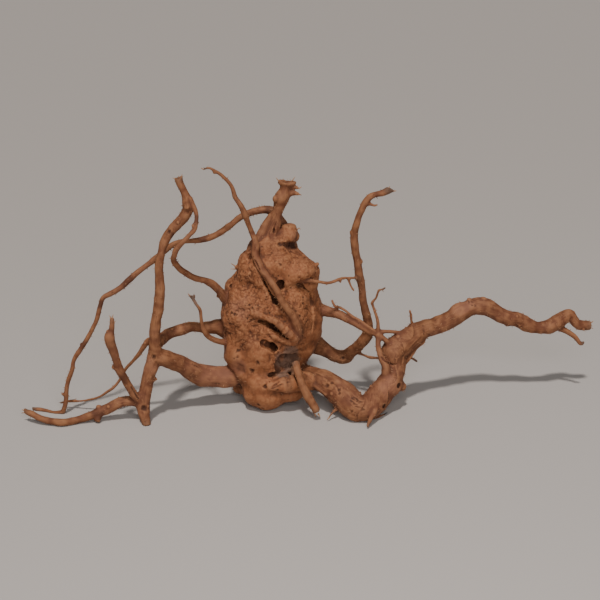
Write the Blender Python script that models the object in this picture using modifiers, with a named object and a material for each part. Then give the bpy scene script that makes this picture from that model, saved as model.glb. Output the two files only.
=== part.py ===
"""A dry root: one piece of bare, sun-tanned wood from a bush of the azalea kind.

A knotty burl stands in the middle. A broken horn rises from its crown, thick limbs leave it
on both sides and come down to the floor, and long thin runners and twigs curl round them.

The root is laid out as a viewer sees it from its best side. Every point of a limb is given in
millimetres by how far it lies across and up in the viewer's picture, and by how far back it
is. The picture plane goes through the floor line in front of the root, square to the line of
sight. The function seen() turns such a point into a place in the room.

Run it with: blender --background --python part.py
"""

import math

import bmesh
import bpy
from mathutils import Matrix, Vector, kdtree, noise
from mathutils.bvhtree import BVHTree

# Every length below is in millimetres. MM turns it into Blender's metres.
MM = 0.001

# The viewer, for whom across and up are measured
VIEW_DISTANCE = 1200.0
VIEW_ELEVATION = math.radians(20.0)
AIM_UP = 125.0

# How far back the line of sight is followed to find the skin
NEAREST_BACK = -60.0
FARTHEST_BACK = 200.0

# Where the middle of the root lies, which becomes the origin
MIDDLE_ACROSS = 14.0
MIDDLE_BACK = 65.0

# How the wood is grown together
GRAIN_VOXEL = 1.0
JOINT_SMOOTHING = 3
TRIANGLES = 11600
TUBE_SIDES = 16
STEPS_PER_SPAN = 5

# Relief of the limbs: long swells, as a share of the thickness
SWELL_SHARE = 0.16
SWELL_LENGTH = 15.0

# The soft body of the burl, before the limbs grow out of it
BURL_VOXEL = 2.0
BURL_SMOOTHING = 14

# Relief of the burl: knobs everywhere, and folds and wrinkles where it is rough
KNOB_LENGTH = 15.0
KNOB_DEPTH = 3.1
FOLD_LENGTH = 8.0
FOLD_DEPTH = 1.5
FOLD_MEAN = 0.22
WRINKLE_LENGTH = 7.0
WRINKLE_STRETCH = 0.4
WRINKLE_DEPTH = 1.1
SMOOTH_SHARE = 0.3
FADE_START = 1.03
FADE_END = 1.22

# How near to a limb, in its radii, the burl's relief has faded away, and where it starts to
LIMB_NEAR = 1.25
LIMB_FAR = 1.8

# The floor cutter, which wears the feet flat
FLOOR_SIZE = 1.0
FLOOR_THICKNESS = 0.1

# The wood's look, where nothing else dresses it
WOOD_COLOUR = (0.36, 0.165, 0.082, 1.0)
WOOD_ROUGHNESS = 0.85

# Limbs and runners: each point is across, up, back and radius
GREAT_LIMB = [
    (-22, 62, 62, 13), (0, 51, 60, 11), (18, 46, 46, 10.5), (33, 38, 33, 13), (46, 27, 22, 14),
    (58, 17, 14, 13), (68, 18, 16, 13), (78, 28, 25, 13), (88, 40, 34, 13), (94, 52, 42, 11),
    (96, 61, 45, 10), (94, 73, 48, 13), (102, 81, 53, 12.5), (110, 87, 57, 11.5),
    (124, 96, 62, 9.3), (135, 99, 66, 8.5), (150, 105.5, 70, 9), (158, 111, 72, 9.5),
    (167, 116.5, 74, 8.5), (175, 118.5, 75, 8.5), (184, 118.5, 76, 9), (192, 114.5, 77, 8.5),
    (202, 109, 78, 7.3), (210, 106.5, 80, 7.3), (218, 105.5, 81, 7.5), (227, 101, 82, 7.3),
    (235, 98, 83, 6.3), (242, 97.5, 84, 6.5), (250, 99, 85, 7), (257, 102.5, 87, 7.8),
    (264, 107.5, 88, 7), (269.5, 110.5, 89, 5.5), (273, 106, 89, 5), (277, 101, 90, 4.8),
    (283, 100, 91, 4.8), (290, 100, 92, 4.8),
]
LEFT_LIMB = [
    (-38, 52, 62, 13), (-60, 50, 55, 11.5), (-78, 49, 50, 11), (-95, 49, 45, 11.2),
    (-110, 55, 36, 9.6), (-120, 61, 30, 8.8), (-131, 65, 22, 8.6), (-142, 68, 16, 8.4),
    (-149, 68, 15, 6.6),
]
LEFT_UPRIGHT = [
    (-145, 73, 15, 7.4), (-145, 80, 15, 6.2), (-145, 95, 15, 5.5), (-144, 105, 16, 5),
    (-142, 115, 18, 5.4), (-141, 125, 19, 5.4), (-140, 135, 20, 5.4), (-140.5, 145, 22, 5),
    (-141, 155, 23, 4.5), (-140, 165, 24, 4.5), (-138, 175, 25, 4), (-136, 182, 26, 4.5),
    (-131, 191, 27, 5), (-124, 200, 28, 5.2), (-117, 207, 29, 5.5), (-112, 216, 30, 6),
    (-113, 222, 30, 5.5), (-114.5, 230, 31, 4.5), (-117, 235, 32, 3.8), (-119.5, 240, 32, 3.8),
    (-122, 246, 33, 3.8),
]
LEFT_LEG = [
    (-144.5, 79, 15, 6.4), (-146, 69, 15, 7.6), (-148, 60, 14, 7), (-151, 50, 13, 6.4),
    (-154, 37, 11, 6.4), (-157, 23, 9, 7), (-156.5, 13, 6, 6.6), (-154.5, 5, 3, 5.2), (-152.5, -1, 0, 3.6),
]
LEFT_FOOT = [
    (-157, 23, 9, 5), (-175, 24, 12, 5), (-182, 21.5, 12, 5.4), (-190, 17, 12, 5.4),
    (-200, 13, 10, 5.2), (-208, 10, 8, 4.3), (-220, 6, 5, 4), (-230, 3.5, 1, 3.8),
    (-238, 2.5, -2, 4), (-250, 4, 0, 3.5), (-260, 7, 2, 3.5), (-268, 11, 5, 3.3),
    (-275, 14, 8, 2.5),
]
LEFT_HORN = [
    (-158, 24, 9, 5), (-164, 28, 6, 4.4), (-170, 37, 3, 4), (-176, 47, 0, 4),
    (-181, 57, -3, 4.2), (-184, 67, -6, 4), (-187, 75, -8, 4.8), (-190, 82, -10, 5.2),
    (-190.5, 89, -11, 5.2), (-188.5, 95, -11, 3), (-188, 100, -12, 2.8), (-188, 107, -12, 2.4),
]
LONG_RUNNER = [
    (-16, 194, 80, 7), (-22, 206, 79, 5.5), (-28, 214, 75, 4.5), (-35, 215.5, 74, 4.2),
    (-42, 214.5, 73, 3.8), (-50, 212.5, 72, 3.5), (-60, 207.5, 68, 3.3), (-70, 199.5, 65, 3.5),
    (-80, 192.5, 62, 3.5), (-90, 187.5, 58, 3.5), (-100, 185, 55, 3.3), (-110, 184, 51, 2.5),
    (-120, 183, 48, 2.8), (-128, 180, 45, 3), (-135, 174, 43, 3), (-145, 166, 41, 3.3),
    (-160, 154.5, 39, 3), (-170, 146, 38, 3.5), (-180, 137, 37, 2.8), (-190, 131, 36, 2.8),
    (-197, 127, 36, 2.6), (-199.5, 120, 36, 2.5), (-203.5, 105, 35, 2.5), (-208, 95, 34, 2.5),
    (-213.5, 85, 33, 2.5), (-220, 75, 32, 2.5), (-226, 65, 31, 2.3), (-228, 55, 30, 2.3),
    (-231.5, 45, 30, 2.4), (-233.5, 35, 29, 2.3), (-234, 25, 29, 2.3), (-236.5, 14, 28, 2.4),
    (-238, 9.5, 28, 2.3),
]
RUNNER_PRONG = [
    (-237, 13, 28, 2.3), (-245, 12, 29, 2.2), (-253, 14, 32, 2.2), (-260, 15.5, 34, 2.1),
    (-268, 16.5, 36, 1.8),
]
SIDE_LIMB = [
    (-60, 93, 72, 11), (-75, 96, 70, 9), (-82, 98, 68, 8), (-90, 97.5, 66, 6.3),
    (-100, 98, 63, 5), (-110, 98, 60, 5), (-120, 95, 55, 6), (-130, 91.5, 50, 6),
    (-137, 87, 42, 6.4), (-142, 83, 28, 6), (-145, 79, 17, 5.5),
]
TRAILING_RUNNER = [
    (-146, 84, 18, 4), (-151, 85, 20, 3), (-155, 80, 20, 2.8), (-161, 71, 23, 2.3),
    (-168, 63, 27, 1.9), (-175, 55, 30, 1.8), (-181, 44, 28, 1.6), (-186, 38, 26, 1.6),
    (-193, 33, 28, 1.5), (-200, 28.5, 30, 1.4), (-210, 25.5, 33, 1.3), (-220, 24, 36, 1.3),
    (-228, 24, 38, 1.7), (-234, 23.5, 39, 1.3), (-240, 22, 40, 1.3),
]
SIDE_TWIG = [
    (-64, 79, 54, 3.8), (-72, 82, 48, 3.5), (-85, 85, 40, 3), (-92, 89, 37, 2.8),
    (-95.5, 94, 34, 2.5), (-98, 101, 33, 2.1), (-99, 108, 32, 2), (-100, 115, 33, 1.9),
    (-104, 121, 34, 1.8), (-107, 126, 36, 1.7), (-110, 129.5, 36, 1.5),
]
CURLED_RUNNER = [
    (-111, 227, 30, 3.5), (-107, 220, 27, 2.8), (-104, 212, 24, 2.5), (-103.5, 205, 20, 2.5),
    (-106, 195, 16, 2.7), (-110.5, 190, 15, 2.5), (-115, 185, 14, 2.7), (-120, 180, 15, 3),
    (-124, 175, 16.5, 3), (-125.5, 170, 18, 3), (-126.5, 165, 22, 3), (-123.5, 160, 25, 3.2),
    (-119, 155, 28, 3.2), (-115, 152.5, 31, 3.2), (-105, 147, 36, 3.3), (-95, 144.5, 42, 3.3),
    (-90, 142, 46, 4), (-85, 138.5, 50, 4.3), (-80, 133.5, 54, 4.6), (-75, 127, 58, 5.6),
    (-66, 121, 62, 6.5),
]
FRONT_RUNNER = [
    (-3, 86, 36, 5), (-2.5, 95, 31, 4.6), (-4.5, 103, 28, 4.4), (-9.5, 112.5, 26, 4.1),
    (-14, 118.5, 25.5, 4), (-18.5, 124.5, 25.5, 3.9), (-23, 134, 26.5, 3.6), (-28, 142, 28, 3.5),
    (-33, 149, 31, 3.4),
    (-38, 155, 34, 3.5), (-41.5, 162, 37, 3.6), (-45, 171, 41, 4.2), (-44.5, 179, 43, 4.2),
    (-45.5, 186, 43.5, 3.2), (-48, 192, 45, 2.8), (-50, 197, 44, 2.8), (-52.5, 203, 43, 3),
    (-55, 210, 42, 3.5), (-58, 217, 41, 2.8), (-61, 222, 40, 2.7), (-65, 228, 39, 2.5),
    (-67, 235, 38, 2.3), (-70, 241, 37, 2.2), (-75, 246.5, 36, 2.1), (-80, 251, 35, 2),
    (-86, 254.5, 34, 1.8), (-91, 257, 33, 1.5), (-97, 255.5, 33, 1.2),
]
BROW = [
    (-66, 113.5, 43, 2.6), (-57, 113, 36.5, 2.8), (-47, 111.5, 33, 3.2), (-36, 108, 29.5, 3.6),
    (-25, 103, 27.5, 4.3), (-15.5, 96, 26.5, 4.5), (-8.5, 89.5, 28, 4.7), (-4, 85, 32, 5.2),
]
LOWER_LIP = [
    (-40, 98, 35.5, 2.2), (-34, 96, 33, 2.7), (-27, 91, 31, 3.1), (-21, 86, 30.5, 3.2),
    (-15, 82.8, 30.5, 3.3), (-8, 83, 32, 3.8), (-3, 84, 34, 4.4),
]
CROWN_HORN = [
    (-30, 166, 60, 15), (-31, 177, 60, 11), (-30, 190, 61, 8.5), (-28, 197, 62, 7.2),
    (-25, 205, 63, 6.5), (-24, 210, 63, 5.8), (-22, 215, 64, 5.5), (-20, 221, 65, 6.3),
    (-19, 226, 65, 7.2), (-16.5, 231, 66, 6.8), (-15, 236, 67, 5.7), (-14, 240, 68, 7),
    (-13, 243.5, 68, 8.2),
]
CROWN_RIDGE = [(-44, 180, 55, 6), (-38, 192, 57, 5), (-33, 202, 60, 4.5), (-28, 210, 62, 3.5)]
RIGHT_UPRIGHT = [
    (-4, 90, 72, 12), (12, 82, 75, 10), (22, 77, 79, 7.5), (30, 72, 82, 6.5), (37, 69, 84, 6.8),
    (44, 68, 86, 7.2), (51, 73, 83, 5.9), (57, 78, 80, 5.8), (64, 85, 74, 6), (68, 92, 72, 5.2),
    (68, 100, 70, 5), (67, 107, 68, 4.6), (65, 115, 66, 4.3), (63, 125, 64, 4),
    (62, 135, 62, 3.8), (61, 142, 61, 3.8), (59.5, 148, 59, 4.5), (58.5, 155, 58, 4.3),
    (57.5, 163, 57, 4.2), (56, 171, 56, 4), (55, 178, 55, 3.8), (54, 186, 54, 4),
    (55, 195, 54, 3.8), (57, 202, 53, 3.8), (59, 209, 53, 3.5), (62, 216, 52, 3.5),
    (65.5, 223, 52, 3.5), (70, 228, 52, 3.5), (76, 230.5, 53, 3), (83, 232, 53, 3.5),
    (89, 235, 54, 3.8),
]
RIGHT_THREAD = [
    (-8, 149, 50, 5), (-1, 146, 45, 4.5), (6, 145, 42, 2.8), (12, 144, 40, 2.3),
    (20, 143, 38, 1.9), (28, 142, 40, 1.9), (35, 144, 42, 1.8), (41, 146.5, 46, 1.5),
    (50, 147, 51, 1.4), (58, 147, 58, 1.5),
]
FALLING_ROOT = [
    (0, 126, 66, 12), (12, 120, 69, 9), (20, 116, 66, 6.3), (30, 113, 62, 5.3),
    (40, 110, 57, 4.5), (50, 104.5, 54, 3.8), (60, 99.5, 50, 3.8), (70, 93.5, 47, 3.5),
    (77, 90, 44, 2.9), (78, 80, 40, 2.8), (79.5, 73, 36, 3.1), (82, 66, 34, 3.5),
    (85, 60, 33, 4), (86, 51, 33, 5),
]
RIDING_ROOT = [
    (32, 125.5, 64, 1.3), (33, 122, 62, 1.4), (35, 119, 60, 1.5), (40, 117.5, 57, 1.5),
    (46, 114, 54, 1.5), (52, 109, 52, 1.5), (60, 104.5, 49, 1.5), (66, 100, 47, 1.6),
    (72, 96, 45, 1.6), (77, 92, 44, 1.8),
]
RIGHT_SPRIG = [
    (78, 92, 44, 2.4), (78, 101, 45, 1.9), (77, 107, 46, 1.8), (75, 113, 47, 1.6),
    (73, 119, 48, 1.5), (72, 121.5, 48, 1.9), (76, 127, 46, 1.4), (78, 133, 44, 1.4),
    (79, 135, 43, 1.3), (82, 135.5, 42.5, 1.3), (86, 137.5, 42, 1.2),
]
BRIDGE = [(77, 93, 44, 2.5), (86, 93.5, 47, 2), (95, 93, 51, 2), (105, 91, 56, 2.8)]
BRIDGE_ROOT = [(77, 91, 43, 2.8), (83, 87, 43, 2.4), (89, 81, 45, 3), (94, 75, 47, 4)]
ELBOW_TWIG = [
    (48, 71, 84, 3.5), (55, 73, 82, 1.8), (60, 71.5, 78, 1.6), (66, 69, 75, 1.5),
    (70, 67.7, 73, 1.9), (77, 67, 71, 1.4), (90, 67, 69, 1.4), (102, 67, 67, 1.4),
    (111, 67, 64, 1.4), (115, 65, 62, 1.4), (117.5, 63, 60, 1.3),
]
LIMB_STRAP = [
    (120, 91, 60, 3), (124, 85.5, 57, 2), (116, 77, 53, 1.9), (111, 69, 49, 2), (102, 60, 46, 3),
]
FORK_TWIG = [
    (254, 101, 87, 4.4), (260, 97, 87, 3.5), (266, 94, 86, 3), (270, 91.5, 85, 2.8),
    (275, 88, 84, 2.5), (278, 84.5, 83, 2.2), (281, 81, 82, 2), (284.5, 83.5, 82, 1.4),
]
LOWER_FOLD = [
    (-32, 38, 26, 6.5), (-19, 39, 26, 7.5), (-6, 40, 31, 8.5), (6, 43, 38, 9), (16, 45, 45, 9),
]
FRONT_STUB = [
    (-6, 68, 42, 5), (-4, 59, 30, 4), (-1, 49, 22, 4), (3, 39, 17, 4.3), (8, 29, 14, 4.8),
    (12, 22, 12.5, 4.3), (17, 13, 11, 4),
]
STUB_RIDGE = [
    (-2, 54, 30, 3.4), (4, 47, 33, 3), (11, 42, 35, 2.6), (20, 36, 29, 2.6), (27, 30, 21, 1.8),
]
FRONT_TOOTH = [
    (76, 36, 24, 3.4), (75.5, 26, 15, 3.6), (75, 16, 7, 3.4), (71, 7, -1, 2.4), (67, -2, -9, 1.4),
]
BACK_LEG = [
    (-25, 72, 84, 15), (-25, 62, 96, 10.5), (-26, 52, 105, 7.6), (-26, 44, 111, 6.2),
    (-26, 37.5, 113, 5.4),
]
BACK_STUMP = [(-42, 116, 92, 15), (-42, 124, 110, 9), (-40, 131, 122, 7.6), (-39, 137, 130, 6.6)]
BACK_LOOP = [
    (-30, 158, 84, 8), (-22, 167, 99, 4.6), (-14, 160, 115, 3.6), (-8, 142, 123, 3.2),
    (-8, 121, 121, 3.4), (-12, 104, 109, 4.6), (-17, 95, 97, 7),
]
BACK_TWIG = [(-8, 126, 122, 2.6), (-4, 118, 133, 1.9), (2, 108, 140, 1.6), (4, 100, 146, 1.3)]

LIMBS = [
    GREAT_LIMB, LEFT_LIMB, LEFT_UPRIGHT, LEFT_LEG, LEFT_FOOT, LEFT_HORN, LONG_RUNNER,
    RUNNER_PRONG, SIDE_LIMB, TRAILING_RUNNER, SIDE_TWIG, CURLED_RUNNER, FRONT_RUNNER,
    BROW, LOWER_LIP, CROWN_HORN, CROWN_RIDGE, RIGHT_UPRIGHT, RIGHT_THREAD, FALLING_ROOT, RIDING_ROOT,
    RIGHT_SPRIG, BRIDGE, BRIDGE_ROOT, ELBOW_TWIG, LIMB_STRAP, FORK_TWIG, LOWER_FOLD,
    FRONT_STUB, STUB_RIDGE, FRONT_TOOTH, BACK_LEG, BACK_STUMP, BACK_LOOP, BACK_TWIG,
]

# The folds of the burl among them, which are as rough as it is
FOLDS = [BROW, LOWER_LIP, LOWER_FOLD]

# Side twigs, spikes of broken ends, nubs and knots
SPURS = [
    [(-107, 126, 36, 1.7), (-105, 130.5, 36, 1.2)],
    [(-126, 197, 28, 3), (-131, 200, 28, 1.6)],
    [(-113, 217, 27, 4), (-113.5, 218.5, 23, 2.6)],
    [(-121, 243, 33, 3), (-125, 247, 33, 1.6)],
    [(-120, 244, 33, 3), (-118.5, 249, 32, 1.4)],
    [(-106, 200, 18, 2.4), (-108, 199, 14, 1.6)],
    [(-180, 56, -3, 3.6), (-188, 58.5, -4, 1.8)],
    [(-201, 14, 10, 4), (-202, 20, 10, 2)],
    [(-201, 11, 9, 3.8), (-203, 3, 4, 3)],
    [(-272, 12, 7, 2.8), (-276, 16.5, 9, 1.5)],
    [(-234, 30, 29, 1.8), (-239, 31, 29, 1.2)],
    [(-151, 45, 12, 3.6), (-142.5, 46, 12, 1.4)],
    [(-86, 254, 34, 1.8), (-86, 250.5, 34, 1.2)],
    [(-45, 173, 48, 3.4), (-53.5, 171.5, 47, 1.6)],
    [(-58, 154, 58, 5), (-66, 159, 57, 1.5)],
    [(8, 152, 53, 8), (15, 159.5, 54, 3), (18.5, 161.5, 55, 1.4)],
    [(-1, 160, 57, 8), (3.5, 168, 59, 2.6), (5, 171, 60, 1.4)],
    [(-21, 226, 63, 5), (-27, 226, 61, 2.8)],
    [(-13, 238, 67, 4), (-6, 238, 66, 2.2), (-1, 236.5, 65, 1.3)],
    [(-13, 232, 66, 4), (-5, 232, 65, 2.2), (-1, 231, 64, 1.3)],
    [(-16, 242, 68, 5), (-22, 244, 67, 2.6)],
    [(89, 235, 54, 2.4), (94, 233.5, 54, 1.2)],
    [(66, 222, 52, 2.4), (71, 220.5, 51, 1.6), (75, 219.5, 50, 1.4), (78, 220.5, 50, 1.2)],
    [(54, 193, 54, 3), (49.5, 192.5, 54, 1.7)],
    [(58, 163, 57, 3.4), (63, 164, 56, 2)],
    [(48, 146.8, 50, 1.5), (50, 141, 50, 1.3), (52, 137, 50, 1.3), (54.5, 133.5, 50, 1.2)],
    [(40, 146, 45, 1.6), (40.5, 141.5, 45, 1.2)],
    [(43, 68, 84, 5), (43, 67, 78, 3)],
    [(111, 90, 58, 4), (112.5, 99, 60, 2), (111.5, 105, 59, 1.7), (111, 110, 58, 1.5),
     (109.5, 115, 56, 1.3)],
    [(168, 117, 73, 6), (169.5, 127, 73, 2.6)],
    [(183, 118, 75, 7), (184, 128, 75, 2.6)],
    [(226, 102, 81, 5), (227, 109, 81, 2)],
    [(207, 107, 79, 6), (208, 99, 79, 2.6)],
    [(94, 44, 40, 9), (104.5, 37.5, 41, 3)],
    [(42, 22, 24, 3.2), (38, 17, 18, 1.9), (34, 14, 14, 1.5), (29, 7.5, 10, 1.3)],
    [(66, 9, 15, 3), (72, 6.5, 13, 1.9), (80, 9, 20, 1.5), (88, 11.5, 30, 1.4)],
    [(-57, 38, 62, 8), (-66, 36, 64, 4)],
]

# The burl's lumps: across, up, back, then half of the width, depth and height, and the lean
LUMPS = [
    (-28, 109, 67, 51, 36, 68, 0),
    (-27, 154, 63, 37, 29, 30, 0),
    (-5, 155, 52, 21, 19, 13, -12),
    (8, 149, 60, 13, 17, 15, 20),
    (-31, 176, 61, 22, 18, 19, -6),
    (-11, 189, 69, 11, 14, 12.5, 20),
    (-15, 174, 81, 15, 15, 14, 0),
    (-7, 113, 43, 16, 18, 27, 0),
    (-59, 80, 58, 17, 25, 33, 0),
    (-52, 108, 50, 25, 20, 30, 10),
    (-38, 76, 50, 29, 23, 34, 0),
    (-33, 42, 50, 27, 29, 27, 0),
    (-50, 55, 54, 17, 20, 16, 0),
    (-12, 42, 52, 23, 25, 17, -12),
    (-46, 118, 86, 27, 20, 38, 0),
    (-8, 96, 84, 25, 22, 34, 0),
    (-22, 62, 82, 24, 22, 24, 0),
]

# The broken plate on top of the crown horn, in the same numbers
TOP_PLATE = (-13, 242.3, 68, 9.8, 7.5, 2.8, -1)

# Hollows in the burl's face and knot holes in the limbs, in the same numbers, but with how far
# the middle is sunk behind the skin in place of how far back it lies
HOLLOWS = [
    (-18.5, 140.5, 3, 4.2, 12, 5.8, 6),
    (-34, 81, 0, 6, 5, 4.6, 8),
    (-30, 80, 2, 5.5, 7, 4.8, 0),
    (-26.5, 79, 6, 4.8, 16, 5.2, 0),
    (-14.5, 62, 0, 18, 8, 13, 0),
    (-10, 50, 6, 4.5, 10, 4.5, 20),
    (-27, 51, 2, 6, 5, 1.8, 0),
    (-70, 139.3, 0.5, 1.6, 3, 1.5, 0),
    (-26, 194, 1, 1.4, 3, 2.8, 0),
    (98.5, 39.5, 0.5, 3, 3, 3, 0),
    (84, 18.5, 0.5, 2.6, 3, 2.4, 0),
]

# Where the burl is rough: across, up, back and reach
ROUGH_SPOTS = [
    (-62, 148, 46, 20), (-62, 112, 42, 24), (-44, 130, 38, 22), (-8, 113, 34, 21), (-30, 92, 34, 14),
    (-14, 70, 40, 16), (6, 150, 42, 9),
]

# Slots that go deep into the burl along the line of sight, each point with its sink behind the
# skin, and how much deeper each pass is
SLOT_PASSES = (0, 4, 8, 12)
SLOTS = [
    [(-42, 104, 1, 1.4), (-36, 103, 1, 2), (-30, 100, 1, 2.6), (-24, 96, 1, 2.8),
     (-19, 91.5, 1, 2.6), (-14.5, 88.5, 1, 1.9), (-11, 86.5, 1, 1.2)],
    [(-42, 155, 0, 1.2), (-38, 147, 0, 1.4), (-33, 137, 0, 2), (-27.5, 128, 0, 2.2),
     (-22, 119.5, 0, 1.6), (-16, 112, 0, 1.2)],
]

# Shallow grooves and cracks: each point is across, up, its sink behind the skin and radius
GROOVES = [
    [(-12, 141.5, 1, 1.6), (-4, 141, 1.5, 2.4), (3, 138, 2, 3), (8, 133, 2, 2.8),
     (10.5, 126, 2, 2.4), (10.5, 116, 2, 2.2), (11, 104, 1.5, 2), (10, 92, 1, 1.6)],
    [(-6, 83, 0.5, 1.2), (0, 85, 1, 1.6), (6, 87, 0.5, 1.2)],
    [(-38, 37, 0, 1), (-35, 39.5, 0.5, 1.4), (-32, 42, 0, 1)],
    [(-29, 37, 0, 1), (-25, 40, 0.5, 1.4), (-20, 44, 0, 1)],
    [(-23, 205, -0.3, 0.9), (-26, 194, -0.2, 1.3), (-27, 184, -0.3, 0.9)],
    [(-46, 166, 0, 1.2), (-43, 160, 0.5, 1.8), (-40, 154, 0, 1.2)],
    [(-26, 179, -0.5, 2.6), (-18, 178.5, -1, 4.4), (-10, 177.5, -1.5, 5), (-5, 176, -1.5, 4.4)],
    [(-57, 94, -3, 4), (-53, 80, -3, 5), (-50, 66, -3.4, 4.6)],
    [(81, 68, 0, 1.2), (86, 64, 0.5, 1.8), (91, 61, 0.5, 1.6), (97, 61, 0, 1.2)],
]


def seen(across, up, back):
    """The place of a point of the picture that lies so far back, and how much larger it is there."""
    sine, cosine = math.sin(VIEW_ELEVATION), math.cos(VIEW_ELEVATION)
    eye = Vector((0, AIM_UP * sine - VIEW_DISTANCE * cosine, AIM_UP * cosine + VIEW_DISTANCE * sine))
    on_plane = Vector((across, up * sine, up * cosine))
    reach = (back - eye.y) / (on_plane.y - eye.y)
    place = eye + (on_plane - eye) * reach
    return (place - Vector((MIDDLE_ACROSS, MIDDLE_BACK, 0))) * MM, reach


def clear_scene():
    """Takes away whatever the scene starts with."""
    for obj in list(bpy.data.objects):
        bpy.data.objects.remove(obj)


def new_collection(name):
    """A collection of that name in the scene."""
    collection = bpy.data.collections.new(name)
    bpy.context.scene.collection.children.link(collection)
    return collection


def mesh_of(obj):
    """The object's mesh as its modifiers leave it, in the room's axes."""
    graph = bpy.context.evaluated_depsgraph_get()
    mesh = bpy.data.meshes.new_from_object(obj.evaluated_get(graph))
    mesh.transform(obj.matrix_world)
    return mesh


def tube(points):
    """A mesh tube along a smooth curve through the points, with its caps welded on."""
    curve = bpy.data.curves.new("limb", "CURVE")
    curve.dimensions = "3D"
    curve.bevel_depth = 1.0
    curve.bevel_resolution = TUBE_SIDES // 2 - 2
    curve.resolution_u = STEPS_PER_SPAN
    curve.use_fill_caps = True
    spline = curve.splines.new("BEZIER")
    spline.bezier_points.add(len(points) - 1)
    for knot, (across, up, back, radius) in zip(spline.bezier_points, points):
        place, reach = seen(across, up, back)
        knot.co = place
        knot.radius = radius * reach * MM
        knot.handle_left_type = knot.handle_right_type = "AUTO"
    obj = bpy.data.objects.new("limb", curve)
    bpy.context.scene.collection.objects.link(obj)
    bpy.context.view_layer.update()
    mesh = mesh_of(obj)
    bpy.data.objects.remove(obj)
    shape = bmesh.new()
    shape.from_mesh(mesh)
    bmesh.ops.remove_doubles(shape, verts=shape.verts, dist=0.01 * MM)
    shape.to_mesh(mesh)
    shape.free()
    return mesh


def skin_finder(obj):
    """A function that gives how far back the skin of the object is first seen."""
    mesh = obj.data
    faces = [tuple(face.vertices) for face in mesh.polygons]
    tree = BVHTree.FromPolygons([vert.co for vert in mesh.vertices], faces)

    def skin_back(across, up):
        near, far = seen(across, up, NEAREST_BACK)[0], seen(across, up, FARTHEST_BACK)[0]
        hit = tree.ray_cast(near, (far - near).normalized())[0]
        return hit.y / MM + MIDDLE_BACK

    return skin_back


def sunk(sizes, skin_back):
    """The same numbers, with the sink behind the skin turned into how far back the place lies."""
    across, up, sink, *rest = sizes
    return across, up, skin_back(across, up) + sink, *rest


def deep_slots():
    """The routes of every pass of the deep slots."""
    return [[(across, up, sink + deeper, radius) for across, up, sink, radius in points]
            for points in SLOTS for deeper in SLOT_PASSES]


def lump(across, up, back, half_width, half_depth, half_height, lean):
    """A mesh ellipsoid, leaning so many degrees to the right in the picture."""
    place, reach = seen(across, up, back)
    sizes = Vector((half_width, half_depth, half_height)) * (reach * MM)
    shape = bmesh.new()
    bmesh.ops.create_icosphere(shape, subdivisions=4, radius=1.0)
    mesh = bpy.data.meshes.new("lump")
    shape.to_mesh(mesh)
    shape.free()
    turn = Matrix.Rotation(math.radians(lean), 4, "Y")
    mesh.transform(Matrix.Translation(place) @ turn @ Matrix.Diagonal(sizes).to_4x4())
    return mesh


def joined(name, meshes, collection):
    """One object that holds all the meshes, still as separate shells."""
    shape = bmesh.new()
    for mesh in meshes:
        shape.from_mesh(mesh)
        bpy.data.meshes.remove(mesh)
    whole = bpy.data.meshes.new(name)
    shape.to_mesh(whole)
    shape.free()
    obj = bpy.data.objects.new(name, whole)
    collection.objects.link(obj)
    return obj


def apply_modifiers(obj):
    """Leaves the object with the mesh that its modifiers make."""
    bpy.context.view_layer.update()
    made = mesh_of(obj)
    obj.modifiers.clear()
    old, obj.data = obj.data, made
    bpy.data.meshes.remove(old)


def grow_together(obj, voxel=GRAIN_VOXEL, smoothing=JOINT_SMOOTHING):
    """Makes one skin of the object's shells, rounded where they meet."""
    fuse = obj.modifiers.new("Grow together", "REMESH")
    fuse.mode = "VOXEL"
    fuse.voxel_size = voxel * MM
    round_off = obj.modifiers.new("Round the joints", "SMOOTH")
    round_off.factor = 0.5
    round_off.iterations = smoothing
    apply_modifiers(obj)


def burl_body(collection):
    """The mesh of the burl: its lumps, blended into one soft body."""
    body = joined("burl", [lump(*sizes) for sizes in LUMPS], collection)
    grow_together(body, BURL_VOXEL, BURL_SMOOTHING)
    mesh = body.data
    bpy.data.objects.remove(body)
    return mesh


def cut(obj, cutter):
    """Takes the cutter out of the object."""
    boolean = obj.modifiers.new("Cut", "BOOLEAN")
    boolean.operation = "DIFFERENCE"
    boolean.object = cutter
    apply_modifiers(obj)


def keep_largest_body(obj):
    """Deletes every loose shell but the one with the most points."""
    shape = bmesh.new()
    shape.from_mesh(obj.data)
    unseen = set(shape.verts)
    bodies = []
    while unseen:
        body, rim = set(), [unseen.pop()]
        while rim:
            vert = rim.pop()
            body.add(vert)
            for edge in vert.link_edges:
                other = edge.other_vert(vert)
                if other in unseen:
                    unseen.remove(other)
                    rim.append(other)
        bodies.append(body)
    largest = max(bodies, key=len)
    loose = [vert for body in bodies if body is not largest for vert in body]
    bmesh.ops.delete(shape, geom=loose, context="VERTS")
    shape.to_mesh(obj.data)
    shape.free()


def limb_map(routes):
    """A function that gives how far a place is from the nearest limb's middle, and its radius."""
    samples = []
    for points in routes:
        for start, end in zip(points, points[1:]):
            for step in range(STEPS_PER_SPAN):
                share = step / STEPS_PER_SPAN
                across, up, back, radius = (a + (b - a) * share for a, b in zip(start, end))
                place, reach = seen(across, up, back)
                samples.append((place, radius * reach * MM))
    tree = kdtree.KDTree(len(samples))
    for index, (place, _) in enumerate(samples):
        tree.insert(place, index)
    tree.balance()

    def nearest(place):
        _, index, distance = tree.find(place)
        return distance, samples[index][1]

    return nearest


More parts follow.
